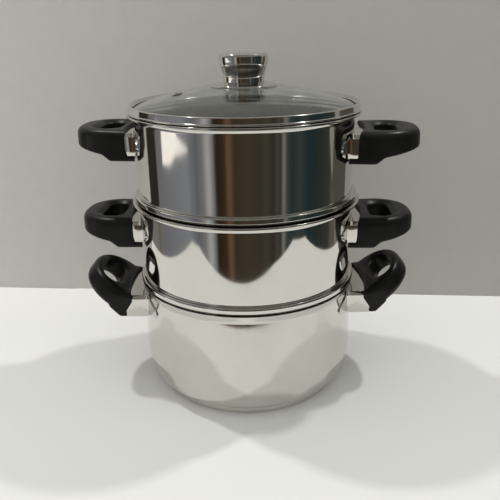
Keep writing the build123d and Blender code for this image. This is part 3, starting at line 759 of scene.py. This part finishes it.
# %% Vent
SEAT_GAP = 0.05
EYELET_INNER = 2.2
EYELET_OUTER = 2.7
EYELET_BRIM = 5.0
EYELET_RISE = 0.8
EYELET_DEPTH = 3.9
EYELET_STEPS = 64

eyelet = rounded([
    (EYELET_INNER, -EYELET_DEPTH, 0),
    (EYELET_INNER, EYELET_RISE, 0.35),
    (EYELET_BRIM, EYELET_RISE, 0.5),
    (EYELET_BRIM, SEAT_GAP, 0.2),
    (EYELET_OUTER, SEAT_GAP, 0),
    (EYELET_OUTER, -EYELET_DEPTH, 0),
])
vent = lathe("vent_grommet_steel", eyelet, closed=True, steps=EYELET_STEPS)
vent.data.transform(vent_place)
smooth(vent)
settle(vent, "lid", "polished_steel", trim_steel, "vent_grommet")

# %% [markdown]
# ## Knob
#
# The knob is a pressed shell on a plastic plug. Its side leaves the foot upright, sweeps out
# to a wider crown and rolls over into a flat top. A shallow brimmed disc under it spreads its
# load on the glass.

# %% Disc under the knob
FLANGE_RADIUS = 30.4
FLANGE_SHEET = 0.8
FLANGE_BORE = 2.8
FLANGE_BRIM = 1.0
FLANGE_BRIM_RISE = 1.5
FLANGE_DISH_RISE = 2.2
FLANGE_FOOT = glass_height(FLANGE_RADIUS - FLANGE_SHEET) + SEAT_GAP
KNOB_STEPS = 128
KNOB_FOOT = FLANGE_FOOT + FLANGE_BRIM_RISE + FLANGE_DISH_RISE + SEAT_GAP
KNOB_FOOT_RADIUS = 18.7

flange_line = rounded([
    (FLANGE_BORE, KNOB_FOOT - SEAT_GAP, 0),
    (KNOB_FOOT_RADIUS, KNOB_FOOT - SEAT_GAP, 2.2),
    (FLANGE_RADIUS - FLANGE_BRIM, FLANGE_FOOT + FLANGE_BRIM_RISE, 1.0),
    (FLANGE_RADIUS, FLANGE_FOOT, 0),
])
flange = press("knob_flange_steel", flange_line, -FLANGE_SHEET, KNOB_STEPS)
smooth(ease(flange, RIM_EASE))
settle(flange, "lid", "polished_steel", trim_steel, "knob_flange")

# %% Shell of the knob
KNOB_SHEET = 0.7
KNOB_HEIGHT = 24.9
KNOB_CROWN_RADIUS = 22.3
KNOB_CROWN_ROUND = 3.6
KNOB_CROWN_FALL = 0.8
KNOB_WAIST = 1.5
KNOB_SHOULDER = 20.4
FLARE_STEPS = 12

middle_flare = Vector((
    (KNOB_FOOT_RADIUS + KNOB_CROWN_RADIUS) / 2,
    KNOB_FOOT + (KNOB_WAIST + KNOB_SHOULDER) / 2,
))
half_rise = middle_flare.y - KNOB_FOOT - KNOB_WAIST
half_run = middle_flare.x - KNOB_FOOT_RADIUS
flare_round = (half_rise**2 + half_run**2) / (2 * half_run)
flare_turn = math.degrees(math.asin(half_rise / flare_round))
lower_centre = (KNOB_FOOT_RADIUS + flare_round, KNOB_FOOT + KNOB_WAIST)
upper_centre = (KNOB_CROWN_RADIUS - flare_round, KNOB_FOOT + KNOB_SHOULDER)
lower = arc(lower_centre, flare_round, 180, 180 - flare_turn, FLARE_STEPS)
upper = arc(upper_centre, flare_round, -flare_turn, 0, FLARE_STEPS)
crown = rounded([
    (KNOB_CROWN_RADIUS, KNOB_FOOT + KNOB_SHOULDER, 0),
    (KNOB_CROWN_RADIUS, KNOB_FOOT + KNOB_HEIGHT - KNOB_CROWN_FALL, KNOB_CROWN_ROUND),
    (KNOB_FOOT_RADIUS / 2, KNOB_FOOT + KNOB_HEIGHT, KNOB_FOOT_RADIUS),
    (0, KNOB_FOOT + KNOB_HEIGHT, 0),
])
foot = [(KNOB_FOOT_RADIUS, KNOB_FOOT), (KNOB_FOOT_RADIUS, KNOB_FOOT + KNOB_WAIST - HOLD_MOST)]
knob_line = foot + lower + upper[1:] + crown[1:]
knob = smooth(lathe("knob_cap_steel", walled(knob_line, KNOB_SHEET), steps=KNOB_STEPS))
settle(knob, "lid", "polished_steel", trim_steel, "knob_cap")

# %% [markdown]
# ## Handles
#
# A handle is moulded in one shot, so its loop flows into its root with no seam. Both kinds
# start from the same plan: straight sides, full corners and a nearly straight nose. On the
# baskets that plan is cut to a wedge from the side, deep at the heel and thin at the nose. On
# the pot it is a raised slab of even thickness, joined to a root drawn from the side.
#
# Then the finger hole is cut through with a dished rim. A voxel remesh makes one even skin of
# it all, and a smoothing pass melts the creases, as a mould-maker's radii do. The end that
# meets the steel is cut after that, so it stays crisp.

# %% Outlines of the handles
HALF_WIDTH = 37.5
LOOP_REACH = 30.3
NOSE_SAG = 10
NOSE_CORNER = 34
NOSE_STEPS = 8
NOSE_CORNER_STEPS = 16
LOOP_ROUND = 7
ROOT_ROUND = 3.5
SLOT_STEPS = 14


def plan(tail, height):
    """Outline of a handle from above: its nose and corners are arcs that run into each other."""
    nose = (HALF_WIDTH**2 + NOSE_SAG**2) / (2 * NOSE_SAG)
    centre = LOOP_REACH - nose
    side = HALF_WIDTH - NOSE_CORNER
    along = centre + math.sqrt((nose - NOSE_CORNER) ** 2 - side**2)
    lean = math.degrees(math.atan2(side, along - centre))
    points = arc((along, side), NOSE_CORNER, 90, lean, NOSE_CORNER_STEPS)
    points += arc((centre, 0), nose, lean, -lean, NOSE_STEPS)[1:-1]
    points += arc((along, -side), NOSE_CORNER, -lean, -90, NOSE_CORNER_STEPS)
    points = [Vector((-tail, HALF_WIDTH))] + points + [Vector((-tail, -HALF_WIDTH))]
    return [(point.x, point.y, height) for point in points]


def slab(name, outline, push, width):
    """A closed outline filled and extruded along a vector, with soft edges."""
    obj = trace(name, outline)
    edit(obj)
    bpy.ops.mesh.edge_face_add()
    bpy.ops.mesh.extrude_region_move(TRANSFORM_OT_translate={"value": Vector(push) * MM})
    bpy.ops.mesh.select_all(action="SELECT")
    bpy.ops.mesh.normals_make_consistent(inside=False)
    leave()
    if width:
        modify(
            obj, "BEVEL", width=width * MM, segments=6, limit_method="ANGLE",
            angle_limit=EDGE_ANGLE, use_clamp_overlap=False,
        )
    return obj


def side_slab(corners, half, width):
    """A block drawn from the side and extruded across the handle."""
    outline = [(point.x, -half, point.y) for point in rounded(corners)]
    return slab("side", outline, (0, 2 * half, 0), width)


def stadium(length, width, lift):
    """Outline of a slot across the handle, as points of the loop's own plane."""
    bend = width / 2
    run = length / 2 - bend
    points = arc((0, run), bend, 0, 180, SLOT_STEPS) + arc((0, -run), bend, 180, 360, SLOT_STEPS)
    return [(point.x, point.y, lift) for point in points]


# %% Piercing and moulding
HOLE_SIZE = (43, 19)
DISH_SIZE = (53, 29)
DISH_DEPTH = 3.0
SKIN = 0.8
MELT_PASSES = 8
SCREW_WAY_RADIUS = 4.8


def finger_tool(thickness, both_sides):
    """Cutter for the finger hole: straight inside, opening out at the upper or at both faces."""
    over = thickness / 2
    same = (1, 1)
    narrow = [hole / dish for hole, dish in zip(HOLE_SIZE, DISH_SIZE)]
    wide = [1 / share for share in narrow]
    start, first = (DISH_SIZE, narrow) if both_sides else (HOLE_SIZE, same)
    layers = [
        (over, same),
        (DISH_DEPTH, first),
        (thickness - 2 * DISH_DEPTH, same),
        (DISH_DEPTH, wide),
        (over, same),
    ]
    tool = trace("finger_tool", stadium(*start, -thickness))
    edit(tool)
    bpy.ops.mesh.edge_face_add()
    for rise, (along, across) in layers:
        bpy.ops.mesh.extrude_region_move(TRANSFORM_OT_translate={"value": (0, 0, rise * MM)})
        bpy.ops.transform.resize(value=(across, along, 1), center_override=(0, 0, 0))
    bpy.ops.mesh.select_all(action="SELECT")
    bpy.ops.mesh.normals_make_consistent(inside=False)
    leave()
    return tool


def mould(name, body, hole, way, seat):
    """One handle on the right: pierced, smoothed, then cut to sit on its steel."""
    cut(body, hole)
    modify(body, "REMESH", mode="VOXEL", voxel_size=SKIN * MM)
    modify(body, "SMOOTH", factor=0.5, iterations=MELT_PASSES)
    cut(body, lathe("handle_seat", seat, closed=True))
    start, end, height = way
    middle = Matrix.Translation(Vector(((start + end) / 2, 0, height)) * MM)
    across = Matrix.Rotation(math.pi / 2, 4, "Y")
    cut(body, drill(SCREW_WAY_RADIUS, end - start, middle @ across))
    body.name = body.data.name = name
    return smooth(body)


# %% [markdown]
# ## Ferrules
#
# A steel sleeve fills the space between vessel and handle. It is a box with two bevelled top
# corners, bent from sheet, so its long edges are a little rounded. Its ends follow round
# surfaces: inwards the vessel, outwards a turned face that all parts of the handle meet. A
# ring spun from a section trims both ends at once.

# %% Helpers for ferrules
FERRULE_SHEET = 0.8
FERRULE_ROUND = 0.9
FERRULE_INNER_ROUND = 0.3
FERRULE_CORNER = 3.5
FERRULE_SHOULDER = 3.0
FERRULE_BEND = 7.5
FERRULE_TUCK = 1.5
SLEEVE_START = 80.0
SLEEVE_LENGTH = 60.0
BORE_BACK = 5.0
BORE_STRETCH = 1.2


def sleeve_outline(top, depth, inset):
    """Section of the sleeve, drawn across the handle."""
    half = HALF_WIDTH - inset
    low = top - depth + inset
    right = [
        (half - FERRULE_CORNER, top - inset),
        (half, top - inset - FERRULE_SHOULDER),
        (half, low + FERRULE_BEND),
        (half - FERRULE_TUCK, low),
    ]
    left = [(-y, z) for y, z in right[::-1]]
    return [(SLEEVE_START, y, z) for y, z in right + left]


def sleeve(name, top, depth, ring):
    """One ferrule on the right: its bore runs out past the ring that trims both ends."""
    along = (SLEEVE_LENGTH, 0, 0)
    tube = slab(name, sleeve_outline(top, depth, 0), along, FERRULE_ROUND)
    bore = slab("bore", sleeve_outline(top, depth, FERRULE_SHEET), along, FERRULE_INNER_ROUND)
    bore.data.transform(Matrix.Translation((-BORE_BACK * MM, 0, 0)))
    bore.data.transform(Matrix.Scale(BORE_STRETCH, 4, (1, 0, 0)))
    cut(tube, bore)
    cut(tube, lathe("ring", ring, closed=True), "INTERSECT")
    return smooth(ease(tube, RIM_EASE))


# %% [markdown]
# ## Six handles from two
#
# The baskets' handles lie level and the pot's rise at an angle. One of each kind is made on
# the right, then copied and turned into its places. Each copy has its own mesh.
#
# The finger hole, the loop's tilt and the seat on the ferrule differ between the two kinds,
# so each kind has its own values and its own body, and the shared helpers do the rest.

# %% Handle and ferrule of a basket
CUT_BORE = 50.0
CUT_OVER = 10.0
TIER_FERRULE_RADIUS = 109.7
TIER_FERRULE_TOP = MIDDLE_RIM - 17.0
TIER_FERRULE_DEPTH = 21.0
TIER_FERRULE_INNER = 101.25
TIER_TOE = TIER_FERRULE_TOP - TIER_FERRULE_DEPTH - SEAT_GAP
TIER_TOE_RADIUS = 102.2
TIER_LOW = MIDDLE_RIM - 60
TIER_HIGH = MIDDLE_RIM + 20
TIER_TAIL = 44.1
TIER_THICKNESS = 18.5
TIER_BLOCK_DEPTH = 45.0
TIER_LOOP = {"radius": 127.5, "height": MIDDLE_RIM - 23.1, "tilt": 1.6}
TIER_SCREW_WAY = (113.0, 133.0, MIDDLE_RIM - 27.5)
UNDER_ANGLE = math.radians(50)
WEDGE_SIDE = [
    (80, MIDDLE_RIM, 0),
    (162.8, MIDDLE_RIM, 0),
    (162.8, MIDDLE_RIM - 29, 0),
    (126, MIDDLE_RIM - 36, 7),
    (119, MIDDLE_RIM - 42, 5),
    (80, MIDDLE_RIM - 42, 0),
]


def loop_place(radius, height, tilt):
    """Matrix that lays a handle's own plane at its place, tilted up by degrees."""
    middle = Matrix.Translation(Vector((radius, 0, height)) * MM)
    return middle @ Matrix.Rotation(-math.radians(tilt), 4, "Y")


def wedge(place):
    """Body of a basket's handle: its plan as a tall block, cut to its side view."""
    top = plan(TIER_TAIL, TIER_THICKNESS / 2)
    block = slab("wedge", top, (0, 0, -TIER_BLOCK_DEPTH), LOOP_ROUND)
    block.data.transform(place)
    cut(block, side_slab(WEDGE_SIDE, 2 * HALF_WIDTH, 0), "INTERSECT")
    modify(
        block, "BEVEL", width=ROOT_ROUND * MM, segments=4, limit_method="ANGLE",
        angle_limit=UNDER_ANGLE, use_clamp_overlap=True,
    )
    return block


outer = TIER_FERRULE_RADIUS + SEAT_GAP
tier_seat = [
    (CUT_BORE, TIER_LOW),
    (TIER_TOE_RADIUS, TIER_LOW),
    (TIER_TOE_RADIUS, TIER_TOE),
    (outer, TIER_TOE),
    (outer, TIER_HIGH),
    (CUT_BORE, TIER_HIGH),
]
tier_place = loop_place(**TIER_LOOP)
tier_hole = finger_tool(TIER_THICKNESS, both_sides=False)
tier_hole.data.transform(tier_place)
tier_handle = mould("tier_handle", wedge(tier_place), tier_hole, TIER_SCREW_WAY, tier_seat)
tier_ring = [
    (TIER_FERRULE_INNER, TIER_LOW),
    (TIER_FERRULE_RADIUS, TIER_LOW),
    (TIER_FERRULE_RADIUS, MIDDLE_RIM),
    (TIER_FERRULE_INNER, MIDDLE_RIM),
]
tier_ferrule = sleeve("tier_ferrule", TIER_FERRULE_TOP, TIER_FERRULE_DEPTH, tier_ring)

# %% Handle and ferrule of the pot
POT_FERRULE_RADIUS = 117.0
POT_FERRULE_TOP = POT_HEIGHT - 9.3
POT_FERRULE_DEPTH = 21.7
POT_FERRULE_INSET = 1.25
POT_WAIST = POT_HEIGHT - 14.7
POT_SLANT = POT_WAIST - 9.8
POT_FOOT_REACH = 6.0
POT_LOW = 60.0
POT_TAIL = 14.0
POT_THICKNESS = 21.2
POT_FINGER_SHIFT = 9.5
POT_LOOP = {"radius": 130.4, "height": POT_HEIGHT - 8.8, "tilt": 39}
POT_SCREW_WAY = (120.3, 139.5, POT_FERRULE_TOP - POT_FERRULE_DEPTH / 2)
ROOT_SIDE = [
    (100, 96.7, 0),
    (119, 99.7, 3.5),
    (128, 103.7, 3.5),
    (134.5, 86.5, 3.5),
    (124, 75, 3.5),
    (100, 75, 0),
]


def pot_side(outwards):
    """Turned face of the pot's ferrules: narrow above, wide below."""
    upper = POT_FERRULE_RADIUS + outwards
    lower = upper + POT_FOOT_REACH
    return [(lower, POT_LOW), (lower, POT_SLANT), (upper, POT_WAIST), (upper, POT_HEIGHT + CUT_OVER)]


def raised_loop(place):
    """Body of the pot's handle: an even slab that leans up, joined to its root."""
    under = plan(POT_TAIL, -POT_THICKNESS / 2)
    loop = slab("loop", under, (0, 0, POT_THICKNESS), LOOP_ROUND)
    loop.data.transform(place)
    return cut(loop, side_slab(ROOT_SIDE, HALF_WIDTH, ROOT_ROUND), "UNION")


pot_seat = [(CUT_BORE, POT_LOW)] + pot_side(SEAT_GAP) + [(CUT_BORE, POT_HEIGHT + CUT_OVER)]
pot_place = loop_place(**POT_LOOP)
pot_hole = finger_tool(POT_THICKNESS, both_sides=True)
pot_hole.data.transform(pot_place @ Matrix.Translation((POT_FINGER_SHIFT * MM, 0, 0)))
pot_handle = mould("pot_handle", raised_loop(pot_place), pot_hole, POT_SCREW_WAY, pot_seat)
pot_inner = [point for point in bulge(POT_FERRULE_INSET) if point.y > POT_LOW]
pot_ring = pot_side(0)[:3] + [(POT_FERRULE_RADIUS, POT_NECK_HEIGHT)] + pot_inner[::-1]
pot_ferrule = sleeve("pot_ferrule", POT_FERRULE_TOP, POT_FERRULE_DEPTH, pot_ring)

# %% Copies in their places
MIDDLE_TURN = -3.5
TOP_TURN = -8.0
TOP_LIFT = TOP_RIM - MIDDLE_RIM
SIDES = (("right", 0), ("left", 180))

for vessel, body, handle, ferrule, lift, turn in (
    ("pot", "pot", pot_handle, pot_ferrule, 0, 0),
    ("middle", "middle_tier", tier_handle, tier_ferrule, 0, MIDDLE_TURN),
    ("top", "top_tier", tier_handle, tier_ferrule, TOP_LIFT, TOP_TURN),
):
    for side, half_turn in SIDES:
        lifted = Matrix.Translation((0, 0, lift * MM))
        place = lifted @ Matrix.Rotation(math.radians(turn + half_turn), 4, "Z")
        black = copy(handle, f"{vessel}_handle_{side}_moulding", place)
        settle(black, body, "black_phenolic", black_phenolic, f"{vessel}_handle_{side}")
        metal = copy(ferrule, f"{vessel}_ferrule_{side}_sleeve", place)
        settle(metal, body, "polished_steel", trim_steel, f"{vessel}_ferrule_{side}")
for pattern in (pot_handle, pot_ferrule, tier_handle, tier_ferrule):
    bpy.data.objects.remove(pattern)

# %% [markdown]
# ## Small fittings
#
# Brackets, screws and what lies inside the knob keep the shapes of their CAD nodes. Each only
# needs its own finish.

# %% Finishes of the CAD nodes
for name, finish in (
    ("base_core", aluminium), ("knob_core", knob_plastic), ("knob_insert", brass),
    ("knob_washer", screw_steel), ("knob_screw", screw_steel), ("knob_gasket", silicone),
):
    bpy.data.objects[name].material_slots[0].material = finish
for vessel in ("pot", "middle", "top"):
    bpy.data.objects[f"{vessel}_handle_screws"].material_slots[0].material = screw_steel
    for side in ("left", "right"):
        bpy.data.objects[f"{vessel}_bracket_{side}"].material_slots[0].material = bracket_steel

# %% [markdown]
# ## The room round the pot
#
# Mirror-bright steel has hardly a colour of its own: what it shows is the room. So the stage
# is more than a backdrop. A pale table lies under the object, a grey wall stands behind it,
# and a drum of dull upright bands, seen only in reflections and through the glass, plays
# the dim room behind the camera. Rays that leave an upright wall of the pot go slightly
# down. They meet the table, or the room over its edge, and that edge draws the bowed dark
# shapes on the steel.
#
# Every card is one traced face. Which rays see it is set on its object, so a card can be
# mirrored in the steel without standing in the picture.

# %% Helpers for the stage
ALL_RAYS = ("camera", "diffuse", "glossy", "transmission", "shadow")


def seen_by(obj, *rays):
    """Show an object to the named rays alone."""
    for ray in ALL_RAYS:
        setattr(obj, f"visible_{ray}", ray in rays)


def board(name, corners, finish, *rays):
    """A flat stage card through corners in millimetres."""
    card = trace(name, corners)
    edit(card)
    bpy.ops.mesh.edge_face_add()
    leave()
    card.data.materials.append(finish)
    seen_by(card, *rays)


def glow(name, color, strength=1.0):
    """A finish that shows one even colour, whatever light falls on it."""
    finish = Finish(name)
    light = finish.node("ShaderNodeEmission", {}, {"Color": color, "Strength": strength})
    finish.join(light, finish.output.inputs["Surface"])
    return finish.material


# %% [markdown]
# ## Table and wall
#
# The table is a card with the outline of a real table top, and its edge matters: the steel
# mirrors it. A larger floor lies just under it and isn't mirrored, so that the picture shows
# one pale ground as far as the wall. The wall is plaster with painted shade that darkens it
# from left to right. It shows its front only, so it hides nothing from a camera behind it.

# %% Table and wall
TABLE_COLOR = (0.745, 0.745, 0.715, 1)
TABLE_EDGE = [
    (-455, -330, 0), (-390, -375, 0), (0, -408, 0), (200, -428, 0), (400, -400, 0),
    (485, -300, 0), (470, 201, 0), (-224, 201, 0), (-460, 205, 0),
]
FLOOR_REACH = 4000
FLOOR_DROP = -0.5
FLOOR_EDGE = [
    (x * FLOOR_REACH, y * FLOOR_REACH, FLOOR_DROP) for x, y in ((-1, -1), (1, -1), (1, 1), (-1, 1))
]
WALL_EDGE = [(-2500, 405, -1), (-2500, 405, 2500), (2500, -44, 2500), (2500, -44, -1)]
# Painted shade: the wall's colour darkens from left to right, in place of light that falls off
# across it.
WALL_PAINTED_SHADE = [(0.05, (0.60, 0.585, 0.56, 1)), (0.95, (0.37, 0.365, 0.345, 1))]
PLASTER_TONE = (0.30, 0.29, 0.27, 1)
PLASTER_SHARE = 0.22


def wall_paint():
    """Plaster with painted shade that darkens it from left to right, and clear from behind."""
    finish = Finish("stage_wall")
    point = finish.node("ShaderNodeTexCoord", output="Object")
    across = finish.node("ShaderNodeSeparateXYZ", {}, {"Vector": point}, output="X")
    # Painted shade across the wall, from left to right.
    painted_shade = finish.ramp(across + 0.5, WALL_PAINTED_SHADE)
    plaster = finish.noise(finish.place(), scale=55.0, detail=8.0, rough=0.62)
    finish.set(Base_Color=finish.mix(plaster * PLASTER_SHARE, painted_shade, PLASTER_TONE), Roughness=0.9)
    behind = finish.node("ShaderNodeNewGeometry", output="Backfacing")
    clear = finish.node("ShaderNodeBsdfTransparent")
    solid = Wire(finish, finish.shader.outputs[0])
    shown = finish.node("ShaderNodeMixShader", {}, {0: behind, 1: solid, 2: clear})
    finish.join(shown, finish.output.inputs["Surface"])
    return finish.material


table_finish = Finish("stage_table")
table_finish.set(Base_Color=TABLE_COLOR, Roughness=0.6)
board("stage_table", TABLE_EDGE, table_finish.material, *ALL_RAYS)
board("stage_floor", FLOOR_EDGE, table_finish.material, "camera", "diffuse", "transmission")
board("stage_wall", WALL_EDGE, wall_paint(), "camera", "diffuse", "glossy", "transmission")

# %% [markdown]
# ## The dim room
#
# The drum stands round the object and is open behind it, where the wall is. Its colour is a
# ramp over the compass bearing, from straight behind at -180 degrees over the camera's side
# at 0 to straight behind again at 180. A slow noise shifts the bearing a little, so that no
# band is ruled. It glows instead of being lit, and diffuse rays don't see it, so it adds no
# light to the scene.

# %% Drum of bands
ROOM_BANDS = [
    (-180, (0.11, 0.105, 0.095)), (-132, (0.055, 0.05, 0.045)), (-112, (0.07, 0.065, 0.055)),
    (-99, (0.19, 0.18, 0.17)), (-94, (0.18, 0.18, 0.20)), (-60, (0.24, 0.25, 0.27)),
    (-48, (0.13, 0.14, 0.16)), (-42, (0.22, 0.22, 0.22)), (-37, (0.46, 0.46, 0.47)),
    (-31, (0.20, 0.20, 0.20)), (-28, (0.022, 0.016, 0.012)), (-19, (0.05, 0.03, 0.015)),
    (-16, (0.16, 0.09, 0.06)), (-11, (0.045, 0.035, 0.022)), (2, (0.06, 0.045, 0.03)),
    (14, (0.045, 0.040, 0.028)), (20, (0.06, 0.055, 0.04)), (27, (0.035, 0.032, 0.024)),
    (31, (0.07, 0.065, 0.05)), (35, (0.035, 0.035, 0.03)), (38, (0.22, 0.215, 0.18)),
    (42, (0.05, 0.055, 0.05)), (47, (0.02, 0.035, 0.04)), (56, (0.045, 0.055, 0.05)),
    (64, (0.015, 0.03, 0.035)), (80, (0.025, 0.035, 0.032)), (93, (0.045, 0.045, 0.035)),
    (100, (0.12, 0.11, 0.085)), (114, (0.08, 0.075, 0.06)), (150, (0.13, 0.125, 0.11)),
    (180, (0.11, 0.105, 0.095)),
]
ROOM_RADIUS = 1500.0
ROOM_HEIGHT = 1900.0
ROOM_MIDDLE = 150.0
ROOM_SIDES = 96
OPEN_BEHIND = 350.0
BAND_WOBBLE = 0.02
WOBBLE_STRETCH = (1, 1, 0.12)


def room():
    """Upright bands whose colour follows the compass bearing from the object."""
    finish = Finish("stage_room")
    point = finish.node("ShaderNodeTexCoord", output="Object")
    east, north = [
        finish.node("ShaderNodeSeparateXYZ", {}, {"Vector": point}, output=axis) for axis in "XY"
    ]
    bearing = finish.node("ShaderNodeMath", {"operation": "ARCTAN2"}, {0: east, 1: -1 * north})
    wobble = finish.noise(finish.place(WOBBLE_STRETCH), scale=2.2, detail=4.0, rough=0.6)
    turn = bearing * (0.5 / math.pi) + 0.5 + (wobble - 0.5) * BAND_WOBBLE
    bands = finish.ramp(turn, [((angle + 180) / 360, (*color, 1)) for angle, color in ROOM_BANDS])
    light = finish.node("ShaderNodeEmission", {}, {"Color": bands, "Strength": 1.0})
    finish.join(light, finish.output.inputs["Surface"])
    return finish.material


bpy.ops.object.select_all(action="DESELECT")
bpy.ops.mesh.primitive_cylinder_add(
    vertices=ROOM_SIDES, radius=ROOM_RADIUS * MM, depth=ROOM_HEIGHT * MM,
    end_fill_type="NOTHING", location=(0, 0, ROOM_MIDDLE * MM),
)
drum = bpy.context.object
drum.name = "stage_room"
bpy.ops.object.transform_apply()
edit(drum)
bpy.ops.mesh.select_all(action="DESELECT")
leave()
for face in drum.data.polygons:
    face.select = face.center.y > OPEN_BEHIND * MM
bpy.ops.object.mode_set(mode="EDIT")
bpy.ops.mesh.delete(type="FACE")
leave()
drum.data.materials.append(room())
seen_by(drum, "glossy", "transmission")

# %% [markdown]
# ## Cards for single reflections
#
# A few shapes on the steel come from one thing each: a low bright patch on the left of the
# camera, something dark beside the table on the left, and something dim on the right. Each
# is a glowing card that the camera and diffuse rays don't see.

# %% Cards
CARD_RADIUS = 0.97 * ROOM_RADIUS
WINDOW_CORNERS = [
    (-90, -75), (-90, 260), (-78, 240), (-70, 20), (-56, -25), (-72, -45), (-80, -75),
]
WINDOW_GLOW = (1.0, 0.95, 0.9, 1)
WINDOW_STRENGTH = 1.3
DARK_CARD = [(-620, 60, 0), (-620, 60, 420), (-560, 330, 420), (-560, 330, 0)]
DARK_TONE = (0.03, 0.026, 0.022, 1)
DIM_CARD = [(330, 148, 0), (330, 148, 420), (900, 95, 420), (900, 95, 0)]
DIM_TONE = (0.085, 0.08, 0.066, 1)


def on_drum(bearing, height):
    """A point just inside the drum, from its bearing in degrees and its height."""
    angle = math.radians(bearing)
    return (CARD_RADIUS * math.sin(angle), -CARD_RADIUS * math.cos(angle), height)


window_card = [on_drum(*corner) for corner in WINDOW_CORNERS]
window_light = glow("stage_window_light", WINDOW_GLOW, WINDOW_STRENGTH)
board("stage_window", window_card, window_light, "glossy", "transmission")
board("stage_dark", DARK_CARD, glow("stage_dark_tone", DARK_TONE), "glossy")
board("stage_dim", DIM_CARD, glow("stage_dim_tone", DIM_TONE), "glossy")

# %% [markdown]
# ## Lamps and sky
#
# The photograph shows two soft shadows, which spread to the left and to the right of the
# pot. Two small lamps, high up and a little behind it, cast them. The sky gives the rest at
# a plain level. Mirrored rays see it dimmer, as the ceiling of a room would be.

# %% Lamps and sky
LAMP_WAYS = ((120, 57, 266), (-110, 60, 266))
LAMP_DISTANCE = 2200.0
LAMP_SIZE = 90.0
LAMP_POWER = 13.5
SKY_TONE = (0.92, 0.92, 0.905, 1)
MIRRORED_SKY_TONE = (0.20, 0.195, 0.175, 1)

for index, way in enumerate(LAMP_WAYS):
    lamp = bpy.data.objects.new(f"lamp_{index}", bpy.data.lights.new(f"lamp_{index}", "AREA"))
    bpy.context.scene.collection.objects.link(lamp)
    lamp.location = Vector(way).normalized() * LAMP_DISTANCE * MM
    lamp.rotation_euler = Vector(way).to_track_quat("Z", "Y").to_euler()
    lamp.data.size = LAMP_SIZE * MM
    lamp.data.energy = LAMP_POWER


class Sky(Finish):
    """The world's own nodes, with the same way of adding more."""

    def __init__(self, name):
        self.world = bpy.data.worlds.new(name)
        self.world.use_nodes = True
        self.material = self.world
        self.nodes = self.world.node_tree.nodes


sky = Sky("stage_sky")
bpy.context.scene.world = sky.world
mirrored = sky.node("ShaderNodeLightPath", output="Is Glossy Ray")
tone = sky.mix(mirrored, SKY_TONE, MIRRORED_SKY_TONE)
sky.join(tone, sky.nodes["Background"].inputs["Color"])
